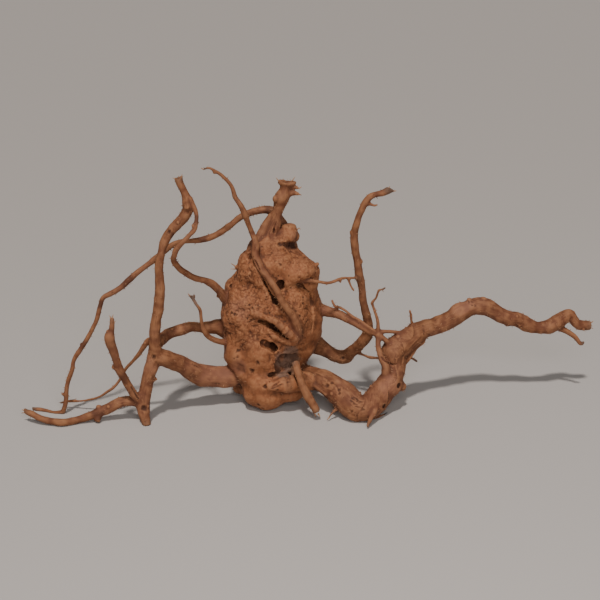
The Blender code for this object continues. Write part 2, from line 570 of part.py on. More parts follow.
def burl_map(lumps):
    """A function that says how far a place belongs to the burl: 1 on it, fading to 0 outside."""
    places = []
    for across, up, back, half_width, half_depth, half_height, _ in lumps:
        centre, reach = seen(across, up, back)
        sizes = Vector((half_width, half_depth, half_height)) * (reach * MM)
        places.append((centre, sizes))

    def share(place):
        nearest = min(math.hypot((place.x - centre.x) / sizes.x, (place.y - centre.y) / sizes.y,
                                 (place.z - centre.z) / sizes.z) for centre, sizes in places)
        return max(0.0, min(1.0, (FADE_END - nearest) / (FADE_END - FADE_START)))

    return share


def roughness_map(spots):
    """A function that says how rough the burl is at a place: 1 in the rough spots, less outside."""
    places = []
    for across, up, back, radius in spots:
        centre, reach = seen(across, up, back)
        places.append((centre, radius * reach * MM))

    def rough(place):
        nearest = min((place - centre).length / radius for centre, radius in places)
        return max(SMOOTH_SHARE, min(1.0, 2.0 - nearest))

    return rough


def burl_relief(place, rough):
    """The height of the burl's skin at a place, both in millimetres: knobs, folds and wrinkles."""
    fold = abs(noise.noise(place / FOLD_LENGTH)) - FOLD_MEAN
    flat = Vector((place.x * WRINKLE_STRETCH, place.y * WRINKLE_STRETCH, place.z)) / WRINKLE_LENGTH
    wrinkle = abs(noise.noise(flat)) - FOLD_MEAN
    knob = noise.noise(place / KNOB_LENGTH)
    return KNOB_DEPTH * knob + rough * (FOLD_DEPTH * fold + WRINKLE_DEPTH * wrinkle)


def add_relief(obj):
    """Swells along the limbs, and knobs and folds on the burl between them."""
    nearest_limb = limb_map([points for points in LIMBS if points not in FOLDS])
    burl = burl_map(LUMPS + [(*point, *point[3:] * 2, 0) for points in FOLDS for point in points])
    roughness = roughness_map(ROUGH_SPOTS)
    moved = []
    for vert in obj.data.vertices:
        place = vert.co / MM
        distance, radius = nearest_limb(vert.co)
        bare = (distance / radius - LIMB_NEAR) / (LIMB_FAR - LIMB_NEAR)
        share = burl(vert.co) * max(0.0, min(1.0, bare))
        rise = (1.0 - share) * noise.noise(place / SWELL_LENGTH) * SWELL_SHARE * radius
        if share > 0.0:
            rise += share * burl_relief(place, roughness(vert.co)) * MM
        moved.append(vert.co + vert.normal * rise)
    for vert, place in zip(obj.data.vertices, moved):
        vert.co = place


def thin_out(obj):
    """Cuts the number of triangles, keeping them where the shape needs them."""
    triangles = sum(len(face.vertices) - 2 for face in obj.data.polygons)
    fewer = obj.modifiers.new("Fewer triangles", "DECIMATE")
    fewer.ratio = TRIANGLES / triangles
    fewer.use_collapse_triangulate = True
    apply_modifiers(obj)


def stand_flat(obj, cutters):
    """Wears the feet flat where the root stands on the floor, at height 0."""
    bpy.ops.mesh.primitive_cube_add(size=1.0)
    floor = bpy.context.object
    floor.name = "floor_cutter"
    floor.scale = (FLOOR_SIZE, FLOOR_SIZE, FLOOR_THICKNESS)
    floor.location = (0.0, 0.0, -FLOOR_THICKNESS / 2)
    hide_cutter(floor)
    for collection in list(floor.users_collection):
        collection.objects.unlink(floor)
    cutters.objects.link(floor)
    cut(obj, floor)


def hide_cutter(obj):
    """Marks the object as a cutter, which isn't part of the root."""
    obj.hide_render = True
    obj.display_type = "WIRE"


def wood():
    """Bare dry root wood."""
    material = bpy.data.materials.new("bare_root_wood")
    material.use_nodes = True
    shader = material.node_tree.nodes["Principled BSDF"]
    shader.inputs["Base Color"].default_value = WOOD_COLOUR
    shader.inputs["Roughness"].default_value = WOOD_ROUGHNESS
    shader.inputs["Metallic"].default_value = 0.0
    material.diffuse_color = WOOD_COLOUR
    return material


def main():
    """Grows the root, carves its hollows, roughens it and stands it on the floor."""
    clear_scene()
    part = new_collection("dry_root")
    cutters = new_collection("cutters")

    limbs = [tube(points) for points in LIMBS + SPURS]
    root = joined("dry_root", limbs + [burl_body(cutters), lump(*TOP_PLATE)], part)
    grow_together(root)

    skin_back = skin_finder(root)
    hollows = [lump(*sunk(hollow, skin_back)) for hollow in HOLLOWS]
    cracks = [tube([sunk(point, skin_back) for point in points]) for points in GROOVES + deep_slots()]
    carver = joined("hollow_cutter", hollows + cracks, cutters)
    hide_cutter(carver)
    grow_together(carver)
    cut(root, carver)
    grow_together(root)

    keep_largest_body(root)
    add_relief(root)
    thin_out(root)
    stand_flat(root, cutters)

    root.data.materials.clear()
    root.data.materials.append(wood())
    root.data.shade_smooth()


if __name__ == "__main__":
    main()
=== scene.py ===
"""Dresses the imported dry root: a fine skin of bare wood, and what grows out of it.

The root's limbs and lumps are laid out as a viewer sees them from the best side, in
millimetres across and up in the picture and back from it, the same as in the solid.
"""

import logging
import math
from contextlib import contextmanager
from dataclasses import dataclass
from enum import Enum
from typing import Iterator, NamedTuple, Sequence

import bmesh
import bpy
import numpy as np
from mathutils import Matrix, Vector, kdtree, noise
from mathutils.bvhtree import BVHTree


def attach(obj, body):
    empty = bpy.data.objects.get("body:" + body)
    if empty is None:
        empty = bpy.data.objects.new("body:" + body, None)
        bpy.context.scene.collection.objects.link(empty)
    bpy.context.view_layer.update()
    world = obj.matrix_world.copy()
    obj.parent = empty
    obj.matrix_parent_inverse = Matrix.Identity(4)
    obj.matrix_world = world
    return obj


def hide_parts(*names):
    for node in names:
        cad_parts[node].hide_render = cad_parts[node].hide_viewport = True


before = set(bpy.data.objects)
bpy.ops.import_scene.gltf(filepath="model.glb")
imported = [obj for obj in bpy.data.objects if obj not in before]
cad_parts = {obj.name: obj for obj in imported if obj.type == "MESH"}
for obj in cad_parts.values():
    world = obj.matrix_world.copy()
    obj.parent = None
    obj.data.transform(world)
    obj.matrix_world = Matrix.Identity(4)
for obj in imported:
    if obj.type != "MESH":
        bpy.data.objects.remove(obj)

LOG = logging.getLogger("dry_root")

MM = 0.001
NODE = "dry_root"
BODY = "root"
SLOT = "bare_root_wood"

# A density in pieces to a square centimetre, times this, is one to a square metre
PER_SQUARE_METRE = 1e4

# How far the grain of one limb is shifted from the last one's, in metres, so that no two match
LIMB_SHIFT = 0.37

# Where the node that mixes colours keeps its share, its two colours and its result
MIX_SHARE, MIX_FIRST, MIX_SECOND, MIX_RESULT = 0, 6, 7, 2


class Knot(NamedTuple):
    """A point of a limb as the viewer sees it, in millimetres."""

    across: float
    up: float
    back: float
    radius: float


class Lump(NamedTuple):
    """An ellipsoid as the viewer sees it, in millimetres, and its lean in degrees."""

    across: float
    up: float
    back: float
    half_width: float
    half_depth: float
    half_height: float
    lean: float


class End(Enum):
    """How the far end of a limb looks."""

    BURIED = 0.0
    SMOOTH = 0.1
    WORN = 0.45
    DARK = 1.0


class Limb(NamedTuple):
    """A limb: its route and how its far end looks."""

    end: End
    points: list[tuple[float, float, float, float]]


GREAT_LIMB = Limb(End.WORN, [
    (-22, 62, 62, 13), (0, 51, 60, 11), (18, 46, 46, 10.5), (33, 38, 33, 13), (46, 27, 22, 14),
    (58, 17, 14, 13), (68, 18, 16, 13), (78, 28, 25, 13), (88, 40, 34, 13), (94, 52, 42, 11),
    (96, 61, 45, 10), (94, 73, 48, 13), (102, 81, 53, 12.5), (110, 87, 57, 11.5),
    (124, 96, 62, 9.3), (135, 99, 66, 8.5), (150, 105.5, 70, 9), (158, 111, 72, 9.5),
    (167, 116.5, 74, 8.5), (175, 118.5, 75, 8.5), (184, 118.5, 76, 9), (192, 114.5, 77, 8.5),
    (202, 109, 78, 7.3), (210, 106.5, 80, 7.3), (218, 105.5, 81, 7.5), (227, 101, 82, 7.3),
    (235, 98, 83, 6.3), (242, 97.5, 84, 6.5), (250, 99, 85, 7), (257, 102.5, 87, 7.8),
    (264, 107.5, 88, 7), (269.5, 110.5, 89, 5.5), (273, 106, 89, 5), (277, 101, 90, 4.8),
    (283, 100, 91, 4.8), (290, 100, 92, 4.8),
])
LEFT_LIMB = Limb(End.BURIED, [
    (-38, 52, 62, 13), (-60, 50, 55, 11.5), (-78, 49, 50, 11), (-95, 49, 45, 11.2),
    (-110, 55, 36, 9.6), (-120, 61, 30, 8.8), (-131, 65, 22, 8.6), (-142, 68, 16, 8.4),
    (-149, 68, 15, 6.6),
])
LEFT_UPRIGHT = Limb(End.WORN, [
    (-145, 73, 15, 7.4), (-145, 80, 15, 6.2), (-145, 95, 15, 5.5), (-144, 105, 16, 5),
    (-142, 115, 18, 5.4), (-141, 125, 19, 5.4), (-140, 135, 20, 5.4), (-140.5, 145, 22, 5),
    (-141, 155, 23, 4.5), (-140, 165, 24, 4.5), (-138, 175, 25, 4), (-136, 182, 26, 4.5),
    (-131, 191, 27, 5), (-124, 200, 28, 5.2), (-117, 207, 29, 5.5), (-112, 216, 30, 6),
    (-113, 222, 30, 5.5), (-114.5, 230, 31, 4.5), (-117, 235, 32, 3.8), (-119.5, 240, 32, 3.8),
    (-122, 246, 33, 3.8),
])
LEFT_LEG = Limb(End.WORN, [
    (-144.5, 79, 15, 6.4), (-146, 69, 15, 7.6), (-148, 60, 14, 7), (-151, 50, 13, 6.4),
    (-154, 37, 11, 6.4), (-157, 23, 9, 7), (-156.5, 13, 6, 6.6), (-154.5, 5, 3, 5.2),
    (-152.5, -1, 0, 3.6),
])
LEFT_FOOT = Limb(End.WORN, [
    (-157, 23, 9, 5), (-175, 24, 12, 5), (-182, 21.5, 12, 5.4), (-190, 17, 12, 5.4),
    (-200, 13, 10, 5.2), (-208, 10, 8, 4.3), (-220, 6, 5, 4), (-230, 3.5, 1, 3.8),
    (-238, 2.5, -2, 4), (-250, 4, 0, 3.5), (-260, 7, 2, 3.5), (-268, 11, 5, 3.3),
    (-275, 14, 8, 2.5),
])
LEFT_HORN = Limb(End.WORN, [
    (-158, 24, 9, 5), (-164, 28, 6, 4.4), (-170, 37, 3, 4), (-176, 47, 0, 4),
    (-181, 57, -3, 4.2), (-184, 67, -6, 4), (-187, 75, -8, 4.8), (-190, 82, -10, 5.2),
    (-190.5, 89, -11, 5.2), (-188.5, 95, -11, 3), (-188, 100, -12, 2.8), (-188, 107, -12, 2.4),
])
LONG_RUNNER = Limb(End.DARK, [
    (-16, 194, 80, 7), (-22, 206, 79, 5.5), (-28, 214, 75, 4.5), (-35, 215.5, 74, 4.2),
    (-42, 214.5, 73, 3.8), (-50, 212.5, 72, 3.5), (-60, 207.5, 68, 3.3), (-70, 199.5, 65, 3.5),
    (-80, 192.5, 62, 3.5), (-90, 187.5, 58, 3.5), (-100, 185, 55, 3.3), (-110, 184, 51, 2.5),
    (-120, 183, 48, 2.8), (-128, 180, 45, 3), (-135, 174, 43, 3), (-145, 166, 41, 3.3),
    (-160, 154.5, 39, 3), (-170, 146, 38, 3.5), (-180, 137, 37, 2.8), (-190, 131, 36, 2.8),
    (-197, 127, 36, 2.6), (-199.5, 120, 36, 2.5), (-203.5, 105, 35, 2.5), (-208, 95, 34, 2.5),
    (-213.5, 85, 33, 2.5), (-220, 75, 32, 2.5), (-226, 65, 31, 2.3), (-228, 55, 30, 2.3),
    (-231.5, 45, 30, 2.4), (-233.5, 35, 29, 2.3), (-234, 25, 29, 2.3), (-236.5, 14, 28, 2.4),
    (-238, 9.5, 28, 2.3),
])
RUNNER_PRONG = Limb(End.DARK, [
    (-237, 13, 28, 2.3), (-245, 12, 29, 2.2), (-253, 14, 32, 2.2), (-260, 15.5, 34, 2.1),
    (-268, 16.5, 36, 1.8),
])
SIDE_LIMB = Limb(End.BURIED, [
    (-60, 93, 72, 11), (-75, 96, 70, 9), (-82, 98, 68, 8), (-90, 97.5, 66, 6.3),
    (-100, 98, 63, 5), (-110, 98, 60, 5), (-120, 95, 55, 6), (-130, 91.5, 50, 6),
    (-137, 87, 42, 6.4), (-142, 83, 28, 6), (-145, 79, 17, 5.5),
])
TRAILING_RUNNER = Limb(End.DARK, [
    (-146, 84, 18, 4), (-151, 85, 20, 3), (-155, 80, 20, 2.8), (-161, 71, 23, 2.3),
    (-168, 63, 27, 1.9), (-175, 55, 30, 1.8), (-181, 44, 28, 1.6), (-186, 38, 26, 1.6),
    (-193, 33, 28, 1.5), (-200, 28.5, 30, 1.4), (-210, 25.5, 33, 1.3), (-220, 24, 36, 1.3),
    (-228, 24, 38, 1.7), (-234, 23.5, 39, 1.3), (-240, 22, 40, 1.3),
])
SIDE_TWIG = Limb(End.DARK, [
    (-64, 79, 54, 3.8), (-72, 82, 48, 3.5), (-85, 85, 40, 3), (-92, 89, 37, 2.8),
    (-95.5, 94, 34, 2.5), (-98, 101, 33, 2.1), (-99, 108, 32, 2), (-100, 115, 33, 1.9),
    (-104, 121, 34, 1.8), (-107, 126, 36, 1.7), (-110, 129.5, 36, 1.5),
])
CURLED_RUNNER = Limb(End.BURIED, [
    (-111, 227, 30, 3.5), (-107, 220, 27, 2.8), (-104, 212, 24, 2.5), (-103.5, 205, 20, 2.5),
    (-106, 195, 16, 2.7), (-110.5, 190, 15, 2.5), (-115, 185, 14, 2.7), (-120, 180, 15, 3),
    (-124, 175, 16.5, 3), (-125.5, 170, 18, 3), (-126.5, 165, 22, 3), (-123.5, 160, 25, 3.2),
    (-119, 155, 28, 3.2), (-115, 152.5, 31, 3.2), (-105, 147, 36, 3.3), (-95, 144.5, 42, 3.3),
    (-90, 142, 46, 4), (-85, 138.5, 50, 4.3), (-80, 133.5, 54, 4.6), (-75, 127, 58, 5.6),
    (-66, 121, 62, 6.5),
])
FRONT_RUNNER = Limb(End.DARK, [
    (-3, 86, 36, 5), (-2.5, 95, 31, 4.6), (-4.5, 103, 28, 4.4), (-9.5, 112.5, 26, 4.1),
    (-14, 118.5, 25.5, 4), (-18.5, 124.5, 25.5, 3.9), (-23, 134, 26.5, 3.6), (-28, 142, 28, 3.5),
    (-33, 149, 31, 3.4), (-38, 155, 34, 3.5), (-41.5, 162, 37, 3.6), (-45, 171, 41, 4.2),
    (-44.5, 179, 43, 4.2), (-45.5, 186, 43.5, 3.2), (-48, 192, 45, 2.8), (-50, 197, 44, 2.8),
    (-52.5, 203, 43, 3), (-55, 210, 42, 3.5), (-58, 217, 41, 2.8), (-61, 222, 40, 2.7),
    (-65, 228, 39, 2.5), (-67, 235, 38, 2.3), (-70, 241, 37, 2.2), (-75, 246.5, 36, 2.1),
    (-80, 251, 35, 2), (-86, 254.5, 34, 1.8), (-91, 257, 33, 1.5), (-97, 255.5, 33, 1.2),
])
BROW = Limb(End.BURIED, [
    (-66, 113.5, 43, 2.6), (-57, 113, 36.5, 2.8), (-47, 111.5, 33, 3.2), (-36, 108, 29.5, 3.6),
    (-25, 103, 27.5, 4.3), (-15.5, 96, 26.5, 4.5), (-8.5, 89.5, 28, 4.7), (-4, 85, 32, 5.2),
])
LOWER_LIP = Limb(End.BURIED, [
    (-40, 98, 35.5, 2.2), (-34, 96, 33, 2.7), (-27, 91, 31, 3.1), (-21, 86, 30.5, 3.2),
    (-15, 82.8, 30.5, 3.3), (-8, 83, 32, 3.8), (-3, 84, 34, 4.4),
])
CROWN_HORN = Limb(End.SMOOTH, [
    (-30, 166, 60, 15), (-31, 177, 60, 11), (-30, 190, 61, 8.5), (-28, 197, 62, 7.2),
    (-25, 205, 63, 6.5), (-24, 210, 63, 5.8), (-22, 215, 64, 5.5), (-20, 221, 65, 6.3),
    (-19, 226, 65, 7.2), (-16.5, 231, 66, 6.8), (-15, 236, 67, 5.7), (-14, 240, 68, 7),
    (-13, 243.5, 68, 8.2),
])
CROWN_RIDGE = Limb(End.BURIED, [
    (-44, 180, 55, 6), (-38, 192, 57, 5), (-33, 202, 60, 4.5), (-28, 210, 62, 3.5),
])
RIGHT_UPRIGHT = Limb(End.DARK, [
    (-4, 90, 72, 12), (12, 82, 75, 10), (22, 77, 79, 7.5), (30, 72, 82, 6.5), (37, 69, 84, 6.8),
    (44, 68, 86, 7.2), (51, 73, 83, 5.9), (57, 78, 80, 5.8), (64, 85, 74, 6), (68, 92, 72, 5.2),
    (68, 100, 70, 5), (67, 107, 68, 4.6), (65, 115, 66, 4.3), (63, 125, 64, 4),
    (62, 135, 62, 3.8), (61, 142, 61, 3.8), (59.5, 148, 59, 4.5), (58.5, 155, 58, 4.3),
    (57.5, 163, 57, 4.2), (56, 171, 56, 4), (55, 178, 55, 3.8), (54, 186, 54, 4),
    (55, 195, 54, 3.8), (57, 202, 53, 3.8), (59, 209, 53, 3.5), (62, 216, 52, 3.5),
    (65.5, 223, 52, 3.5), (70, 228, 52, 3.5), (76, 230.5, 53, 3), (83, 232, 53, 3.5),
    (89, 235, 54, 3.8),
])
RIGHT_THREAD = Limb(End.WORN, [
    (-8, 149, 50, 5), (-1, 146, 45, 4.5), (6, 145, 42, 2.8), (12, 144, 40, 2.3),
    (20, 143, 38, 1.9), (28, 142, 40, 1.9), (35, 144, 42, 1.8), (41, 146.5, 46, 1.5),
    (50, 147, 51, 1.4), (58, 147, 58, 1.5),
])
FALLING_ROOT = Limb(End.BURIED, [
    (0, 126, 66, 12), (12, 120, 69, 9), (20, 116, 66, 6.3), (30, 113, 62, 5.3),
    (40, 110, 57, 4.5), (50, 104.5, 54, 3.8), (60, 99.5, 50, 3.8), (70, 93.5, 47, 3.5),
    (77, 90, 44, 2.9), (78, 80, 40, 2.8), (79.5, 73, 36, 3.1), (82, 66, 34, 3.5),
    (85, 60, 33, 4), (86, 51, 33, 5),
])
RIDING_ROOT = Limb(End.BURIED, [
    (32, 125.5, 64, 1.3), (33, 122, 62, 1.4), (35, 119, 60, 1.5), (40, 117.5, 57, 1.5),
    (46, 114, 54, 1.5), (52, 109, 52, 1.5), (60, 104.5, 49, 1.5), (66, 100, 47, 1.6),
    (72, 96, 45, 1.6), (77, 92, 44, 1.8),
])
RIGHT_SPRIG = Limb(End.DARK, [
    (78, 92, 44, 2.4), (78, 101, 45, 1.9), (77, 107, 46, 1.8), (75, 113, 47, 1.6),
    (73, 119, 48, 1.5), (72, 121.5, 48, 1.9), (76, 127, 46, 1.4), (78, 133, 44, 1.4),
    (79, 135, 43, 1.3), (82, 135.5, 42.5, 1.3), (86, 137.5, 42, 1.2),
])
BRIDGE = Limb(End.BURIED, [(77, 93, 44, 2.5), (86, 93.5, 47, 2), (95, 93, 51, 2), (105, 91, 56, 2.8)])
BRIDGE_ROOT = Limb(End.BURIED, [(77, 91, 43, 2.8), (83, 87, 43, 2.4), (89, 81, 45, 3), (94, 75, 47, 4)])
ELBOW_TWIG = Limb(End.DARK, [
    (48, 71, 84, 3.5), (55, 73, 82, 1.8), (60, 71.5, 78, 1.6), (66, 69, 75, 1.5),
    (70, 67.7, 73, 1.9), (77, 67, 71, 1.4), (90, 67, 69, 1.4), (102, 67, 67, 1.4),
    (111, 67, 64, 1.4), (115, 65, 62, 1.4), (117.5, 63, 60, 1.3),
])
LIMB_STRAP = Limb(End.BURIED, [
    (120, 91, 60, 3), (124, 85.5, 57, 2), (116, 77, 53, 1.9), (111, 69, 49, 2), (102, 60, 46, 3),
])
FORK_TWIG = Limb(End.DARK, [
    (254, 101, 87, 4.4), (260, 97, 87, 3.5), (266, 94, 86, 3), (270, 91.5, 85, 2.8),
    (275, 88, 84, 2.5), (278, 84.5, 83, 2.2), (281, 81, 82, 2), (284.5, 83.5, 82, 1.4),
])
LOWER_FOLD = Limb(End.BURIED, [
    (-32, 38, 26, 6.5), (-19, 39, 26, 7.5), (-6, 40, 31, 8.5), (6, 43, 38, 9), (16, 45, 45, 9),
])
FRONT_STUB = Limb(End.WORN, [
    (-6, 68, 42, 5), (-4, 59, 30, 4), (-1, 49, 22, 4), (3, 39, 17, 4.3), (8, 29, 14, 4.8),
    (12, 22, 12.5, 4.3), (17, 13, 11, 4),
])
STUB_RIDGE = Limb(End.BURIED, [
    (-2, 54, 30, 3.4), (4, 47, 33, 3), (11, 42, 35, 2.6), (20, 36, 29, 2.6), (27, 30, 21, 1.8),
])
FRONT_TOOTH = Limb(End.WORN, [
    (76, 36, 24, 3.4), (75.5, 26, 15, 3.6), (75, 16, 7, 3.4), (71, 7, -1, 2.4), (67, -2, -9, 1.4),
])
BACK_LEG = Limb(End.WORN, [
    (-25, 72, 84, 15), (-25, 62, 96, 10.5), (-26, 52, 105, 7.6), (-26, 44, 111, 6.2),
    (-26, 37.5, 113, 5.4),
])
BACK_STUMP = Limb(End.WORN, [
    (-42, 116, 92, 15), (-42, 124, 110, 9), (-40, 131, 122, 7.6), (-39, 137, 130, 6.6),
])
BACK_LOOP = Limb(End.BURIED, [
    (-30, 158, 84, 8), (-22, 167, 99, 4.6), (-14, 160, 115, 3.6), (-8, 142, 123, 3.2),
    (-8, 121, 121, 3.4), (-12, 104, 109, 4.6), (-17, 95, 97, 7),
])
BACK_TWIG = Limb(End.DARK, [
    (-8, 126, 122, 2.6), (-4, 118, 133, 1.9), (2, 108, 140, 1.6), (4, 100, 146, 1.3),
])

LIMBS: list[Limb] = [
    GREAT_LIMB, LEFT_LIMB, LEFT_UPRIGHT, LEFT_LEG, LEFT_FOOT, LEFT_HORN, LONG_RUNNER,
    RUNNER_PRONG, SIDE_LIMB, TRAILING_RUNNER, SIDE_TWIG, CURLED_RUNNER, FRONT_RUNNER, BROW,
    LOWER_LIP, CROWN_HORN, CROWN_RIDGE, RIGHT_UPRIGHT, RIGHT_THREAD, FALLING_ROOT, RIDING_ROOT,
    RIGHT_SPRIG, BRIDGE, BRIDGE_ROOT, ELBOW_TWIG, LIMB_STRAP, FORK_TWIG, LOWER_FOLD,
    FRONT_STUB, STUB_RIDGE, FRONT_TOOTH, BACK_LEG, BACK_STUMP, BACK_LOOP, BACK_TWIG,
]

# The folds of the burl among them, which are as rough as it is
FOLDS: list[Limb] = [BROW, LOWER_LIP, LOWER_FOLD]

# Side twigs, spikes of broken ends, nubs and knots, as in the solid
SPURS: list[list[tuple[float, float, float, float]]] = [
    [(-107, 126, 36, 1.7), (-105, 130.5, 36, 1.2)],
    [(-126, 197, 28, 3), (-131, 200, 28, 1.6)],
    [(-113, 217, 27, 4), (-113.5, 218.5, 23, 2.6)],
    [(-121, 243, 33, 3), (-125, 247, 33, 1.6)],
    [(-120, 244, 33, 3), (-118.5, 249, 32, 1.4)],
    [(-106, 200, 18, 2.4), (-108, 199, 14, 1.6)],
    [(-180, 56, -3, 3.6), (-188, 58.5, -4, 1.8)],
    [(-201, 14, 10, 4), (-202, 20, 10, 2)],
    [(-201, 11, 9, 3.8), (-203, 3, 4, 3)],
    [(-272, 12, 7, 2.8), (-276, 16.5, 9, 1.5)],
    [(-234, 30, 29, 1.8), (-239, 31, 29, 1.2)],
    [(-151, 45, 12, 3.6), (-142.5, 46, 12, 1.4)],
    [(-86, 254, 34, 1.8), (-86, 250.5, 34, 1.2)],
    [(-45, 173, 48, 3.4), (-53.5, 171.5, 47, 1.6)],
    [(-58, 154, 58, 5), (-66, 159, 57, 1.5)],
    [(8, 152, 53, 8), (15, 159.5, 54, 3), (18.5, 161.5, 55, 1.4)],
    [(-1, 160, 57, 8), (3.5, 168, 59, 2.6), (5, 171, 60, 1.4)],
    [(-21, 226, 63, 5), (-27, 226, 61, 2.8)],
    [(-13, 238, 67, 4), (-6, 238, 66, 2.2), (-1, 236.5, 65, 1.3)],
    [(-13, 232, 66, 4), (-5, 232, 65, 2.2), (-1, 231, 64, 1.3)],
    [(-16, 242, 68, 5), (-22, 244, 67, 2.6)],
    [(89, 235, 54, 2.4), (94, 233.5, 54, 1.2)],
    [(66, 222, 52, 2.4), (71, 220.5, 51, 1.6), (75, 219.5, 50, 1.4), (78, 220.5, 50, 1.2)],
    [(54, 193, 54, 3), (49.5, 192.5, 54, 1.7)],
    [(58, 163, 57, 3.4), (63, 164, 56, 2)],
    [(48, 146.8, 50, 1.5), (50, 141, 50, 1.3), (52, 137, 50, 1.3), (54.5, 133.5, 50, 1.2)],
    [(40, 146, 45, 1.6), (40.5, 141.5, 45, 1.2)],
    [(43, 68, 84, 5), (43, 67, 78, 3)],
    [(111, 90, 58, 4), (112.5, 99, 60, 2), (111.5, 105, 59, 1.7), (111, 110, 58, 1.5),
     (109.5, 115, 56, 1.3)],
    [(168, 117, 73, 6), (169.5, 127, 73, 2.6)],
    [(183, 118, 75, 7), (184, 128, 75, 2.6)],
    [(226, 102, 81, 5), (227, 109, 81, 2)],
    [(207, 107, 79, 6), (208, 99, 79, 2.6)],
    [(94, 44, 40, 9), (104.5, 37.5, 41, 3)],
    [(42, 22, 24, 3.2), (38, 17, 18, 1.9), (34, 14, 14, 1.5), (29, 7.5, 10, 1.3)],
    [(66, 9, 15, 3), (72, 6.5, 13, 1.9), (80, 9, 20, 1.5), (88, 11.5, 30, 1.4)],
    [(-57, 38, 62, 8), (-66, 36, 64, 4)],
]

# The burl's lumps, and the broken plate on top of the crown horn
LUMPS: list[Lump] = [Lump(*sizes) for sizes in (
    (-28, 109, 67, 51, 36, 68, 0),
    (-27, 154, 63, 37, 29, 30, 0),
    (-5, 155, 52, 21, 19, 13, -12),
    (8, 149, 60, 13, 17, 15, 20),
    (-31, 176, 61, 22, 18, 19, -6),
    (-12.5, 188.5, 69, 10.5, 13.5, 12.3, 20),
    (-15, 174, 81, 15, 15, 14, 0),
    (-7, 113, 43, 16, 18, 27, 0),
    (-59, 80, 58, 17, 25, 33, 0),
    (-52, 108, 50, 25, 20, 30, 10),
    (-38, 76, 50, 29, 23, 34, 0),
    (-33, 42, 50, 27, 29, 27, 0),
    (-50, 55, 54, 17, 20, 16, 0),
    (-12, 42, 52, 23, 25, 17, -12),
    (-46, 118, 86, 27, 20, 38, 0),
    (-8, 96, 84, 25, 22, 34, 0),
    (-22, 62, 82, 24, 22, 24, 0),
)]
TOP_PLATE = Lump(-13, 242.3, 68, 9.8, 7.5, 2.8, -1)

# Hollows in the burl's face and knot holes in the limbs, with how far the middle is sunk
# behind the skin in place of how far back it lies
HOLLOWS: list[Lump] = [Lump(*sizes) for sizes in (
    (-18.5, 140.5, 3, 4.2, 12, 5.8, 6),
    (-34, 81, 0, 6, 5, 4.6, 8),
    (-30, 80, 2, 5.5, 7, 4.8, 0),
    (-26.5, 79, 6, 4.8, 16, 5.2, 0),
    (-14.5, 62, 0, 18, 8, 13, 0),
    (-10, 50, 6, 4.5, 10, 4.5, 20),
    (-27, 51, 2, 6, 5, 1.8, 0),
    (-70, 139.3, 0.5, 1.6, 3, 1.5, 0),
    (-26, 194, 1, 1.4, 3, 2.8, 0),
    (98.5, 39.5, 0.5, 3, 3, 3, 0),
    (84, 18.5, 0.5, 2.6, 3, 2.4, 0),
)]

# Small lumps that square off the knob and the shoulder under it, which the solid leaves out.
# They are given as in LUMPS
CRAGS: list[Lump] = [Lump(*sizes) for sizes in (
    (-6, 188.5, 73, 5.6, 8, 5, 0),
    (-12, 198.4, 70, 7.4, 7.5, 2.4, 0),
    (-20, 190, 67.5, 7.5, 10.5, 8.5, 0),
    (3.6, 168.4, 59, 2.4, 3, 2.6, 0),
    (17.4, 161.2, 54.5, 2, 3, 1.8, 0),
)]

# Slots that go deep into the burl along the line of sight, each point with its sink behind the
# skin, and how much deeper each pass is
SLOT_PASSES = (0, 4, 8, 12)
SLOTS: list[list[tuple[float, float, float, float]]] = [
    [(-42, 104, 1, 1.4), (-36, 103, 1, 2), (-30, 100, 1, 2.6), (-24, 96, 1, 2.8),
     (-19, 91.5, 1, 2.6), (-14.5, 88.5, 1, 1.9), (-11, 86.5, 1, 1.2)],
    [(-42, 155, 0, 1.2), (-38, 147, 0, 1.4), (-33, 137, 0, 2), (-27.5, 128, 0, 2.2),
     (-22, 119.5, 0, 1.6), (-16, 112, 0, 1.2)],
]

# Shallow grooves and cracks: each point is across, up, its sink behind the skin and radius
GROOVES: list[list[tuple[float, float, float, float]]] = [
    [(-12, 141.5, 1, 1.6), (-4, 141, 1.5, 2.4), (3, 138, 2, 3), (8, 133, 2, 2.8),
     (10.5, 126, 2, 2.4), (10.5, 116, 2, 2.2), (11, 104, 1.5, 2), (10, 92, 1, 1.6)],
    [(-6, 83, 0.5, 1.2), (0, 85, 1, 1.6), (6, 87, 0.5, 1.2)],
    [(-38, 37, 0, 1), (-35, 39.5, 0.5, 1.4), (-32, 42, 0, 1)],
    [(-29, 37, 0, 1), (-25, 40, 0.5, 1.4), (-20, 44, 0, 1)],
    [(-23, 205, -0.3, 0.9), (-26, 194, -0.2, 1.3), (-27, 184, -0.3, 0.9)],
    [(-46, 166, 0, 1.2), (-43, 160, 0.5, 1.8), (-40, 154, 0, 1.2)],
    [(81, 68, 0, 1.2), (86, 64, 0.5, 1.8), (91, 61, 0.5, 1.6), (97, 61, 0, 1.2)],
]

# Where the burl is rough: across, up, back and reach
ROUGH_SPOTS: list[Knot] = [Knot(*spot) for spot in (
    (-62, 148, 46, 20), (-62, 112, 42, 24), (-44, 130, 38, 22), (-8, 113, 34, 21),
    (-30, 92, 34, 14), (-14, 70, 40, 16), (6, 150, 42, 9), (-18, 171, 52, 14), (8, 159, 50, 9),
)]

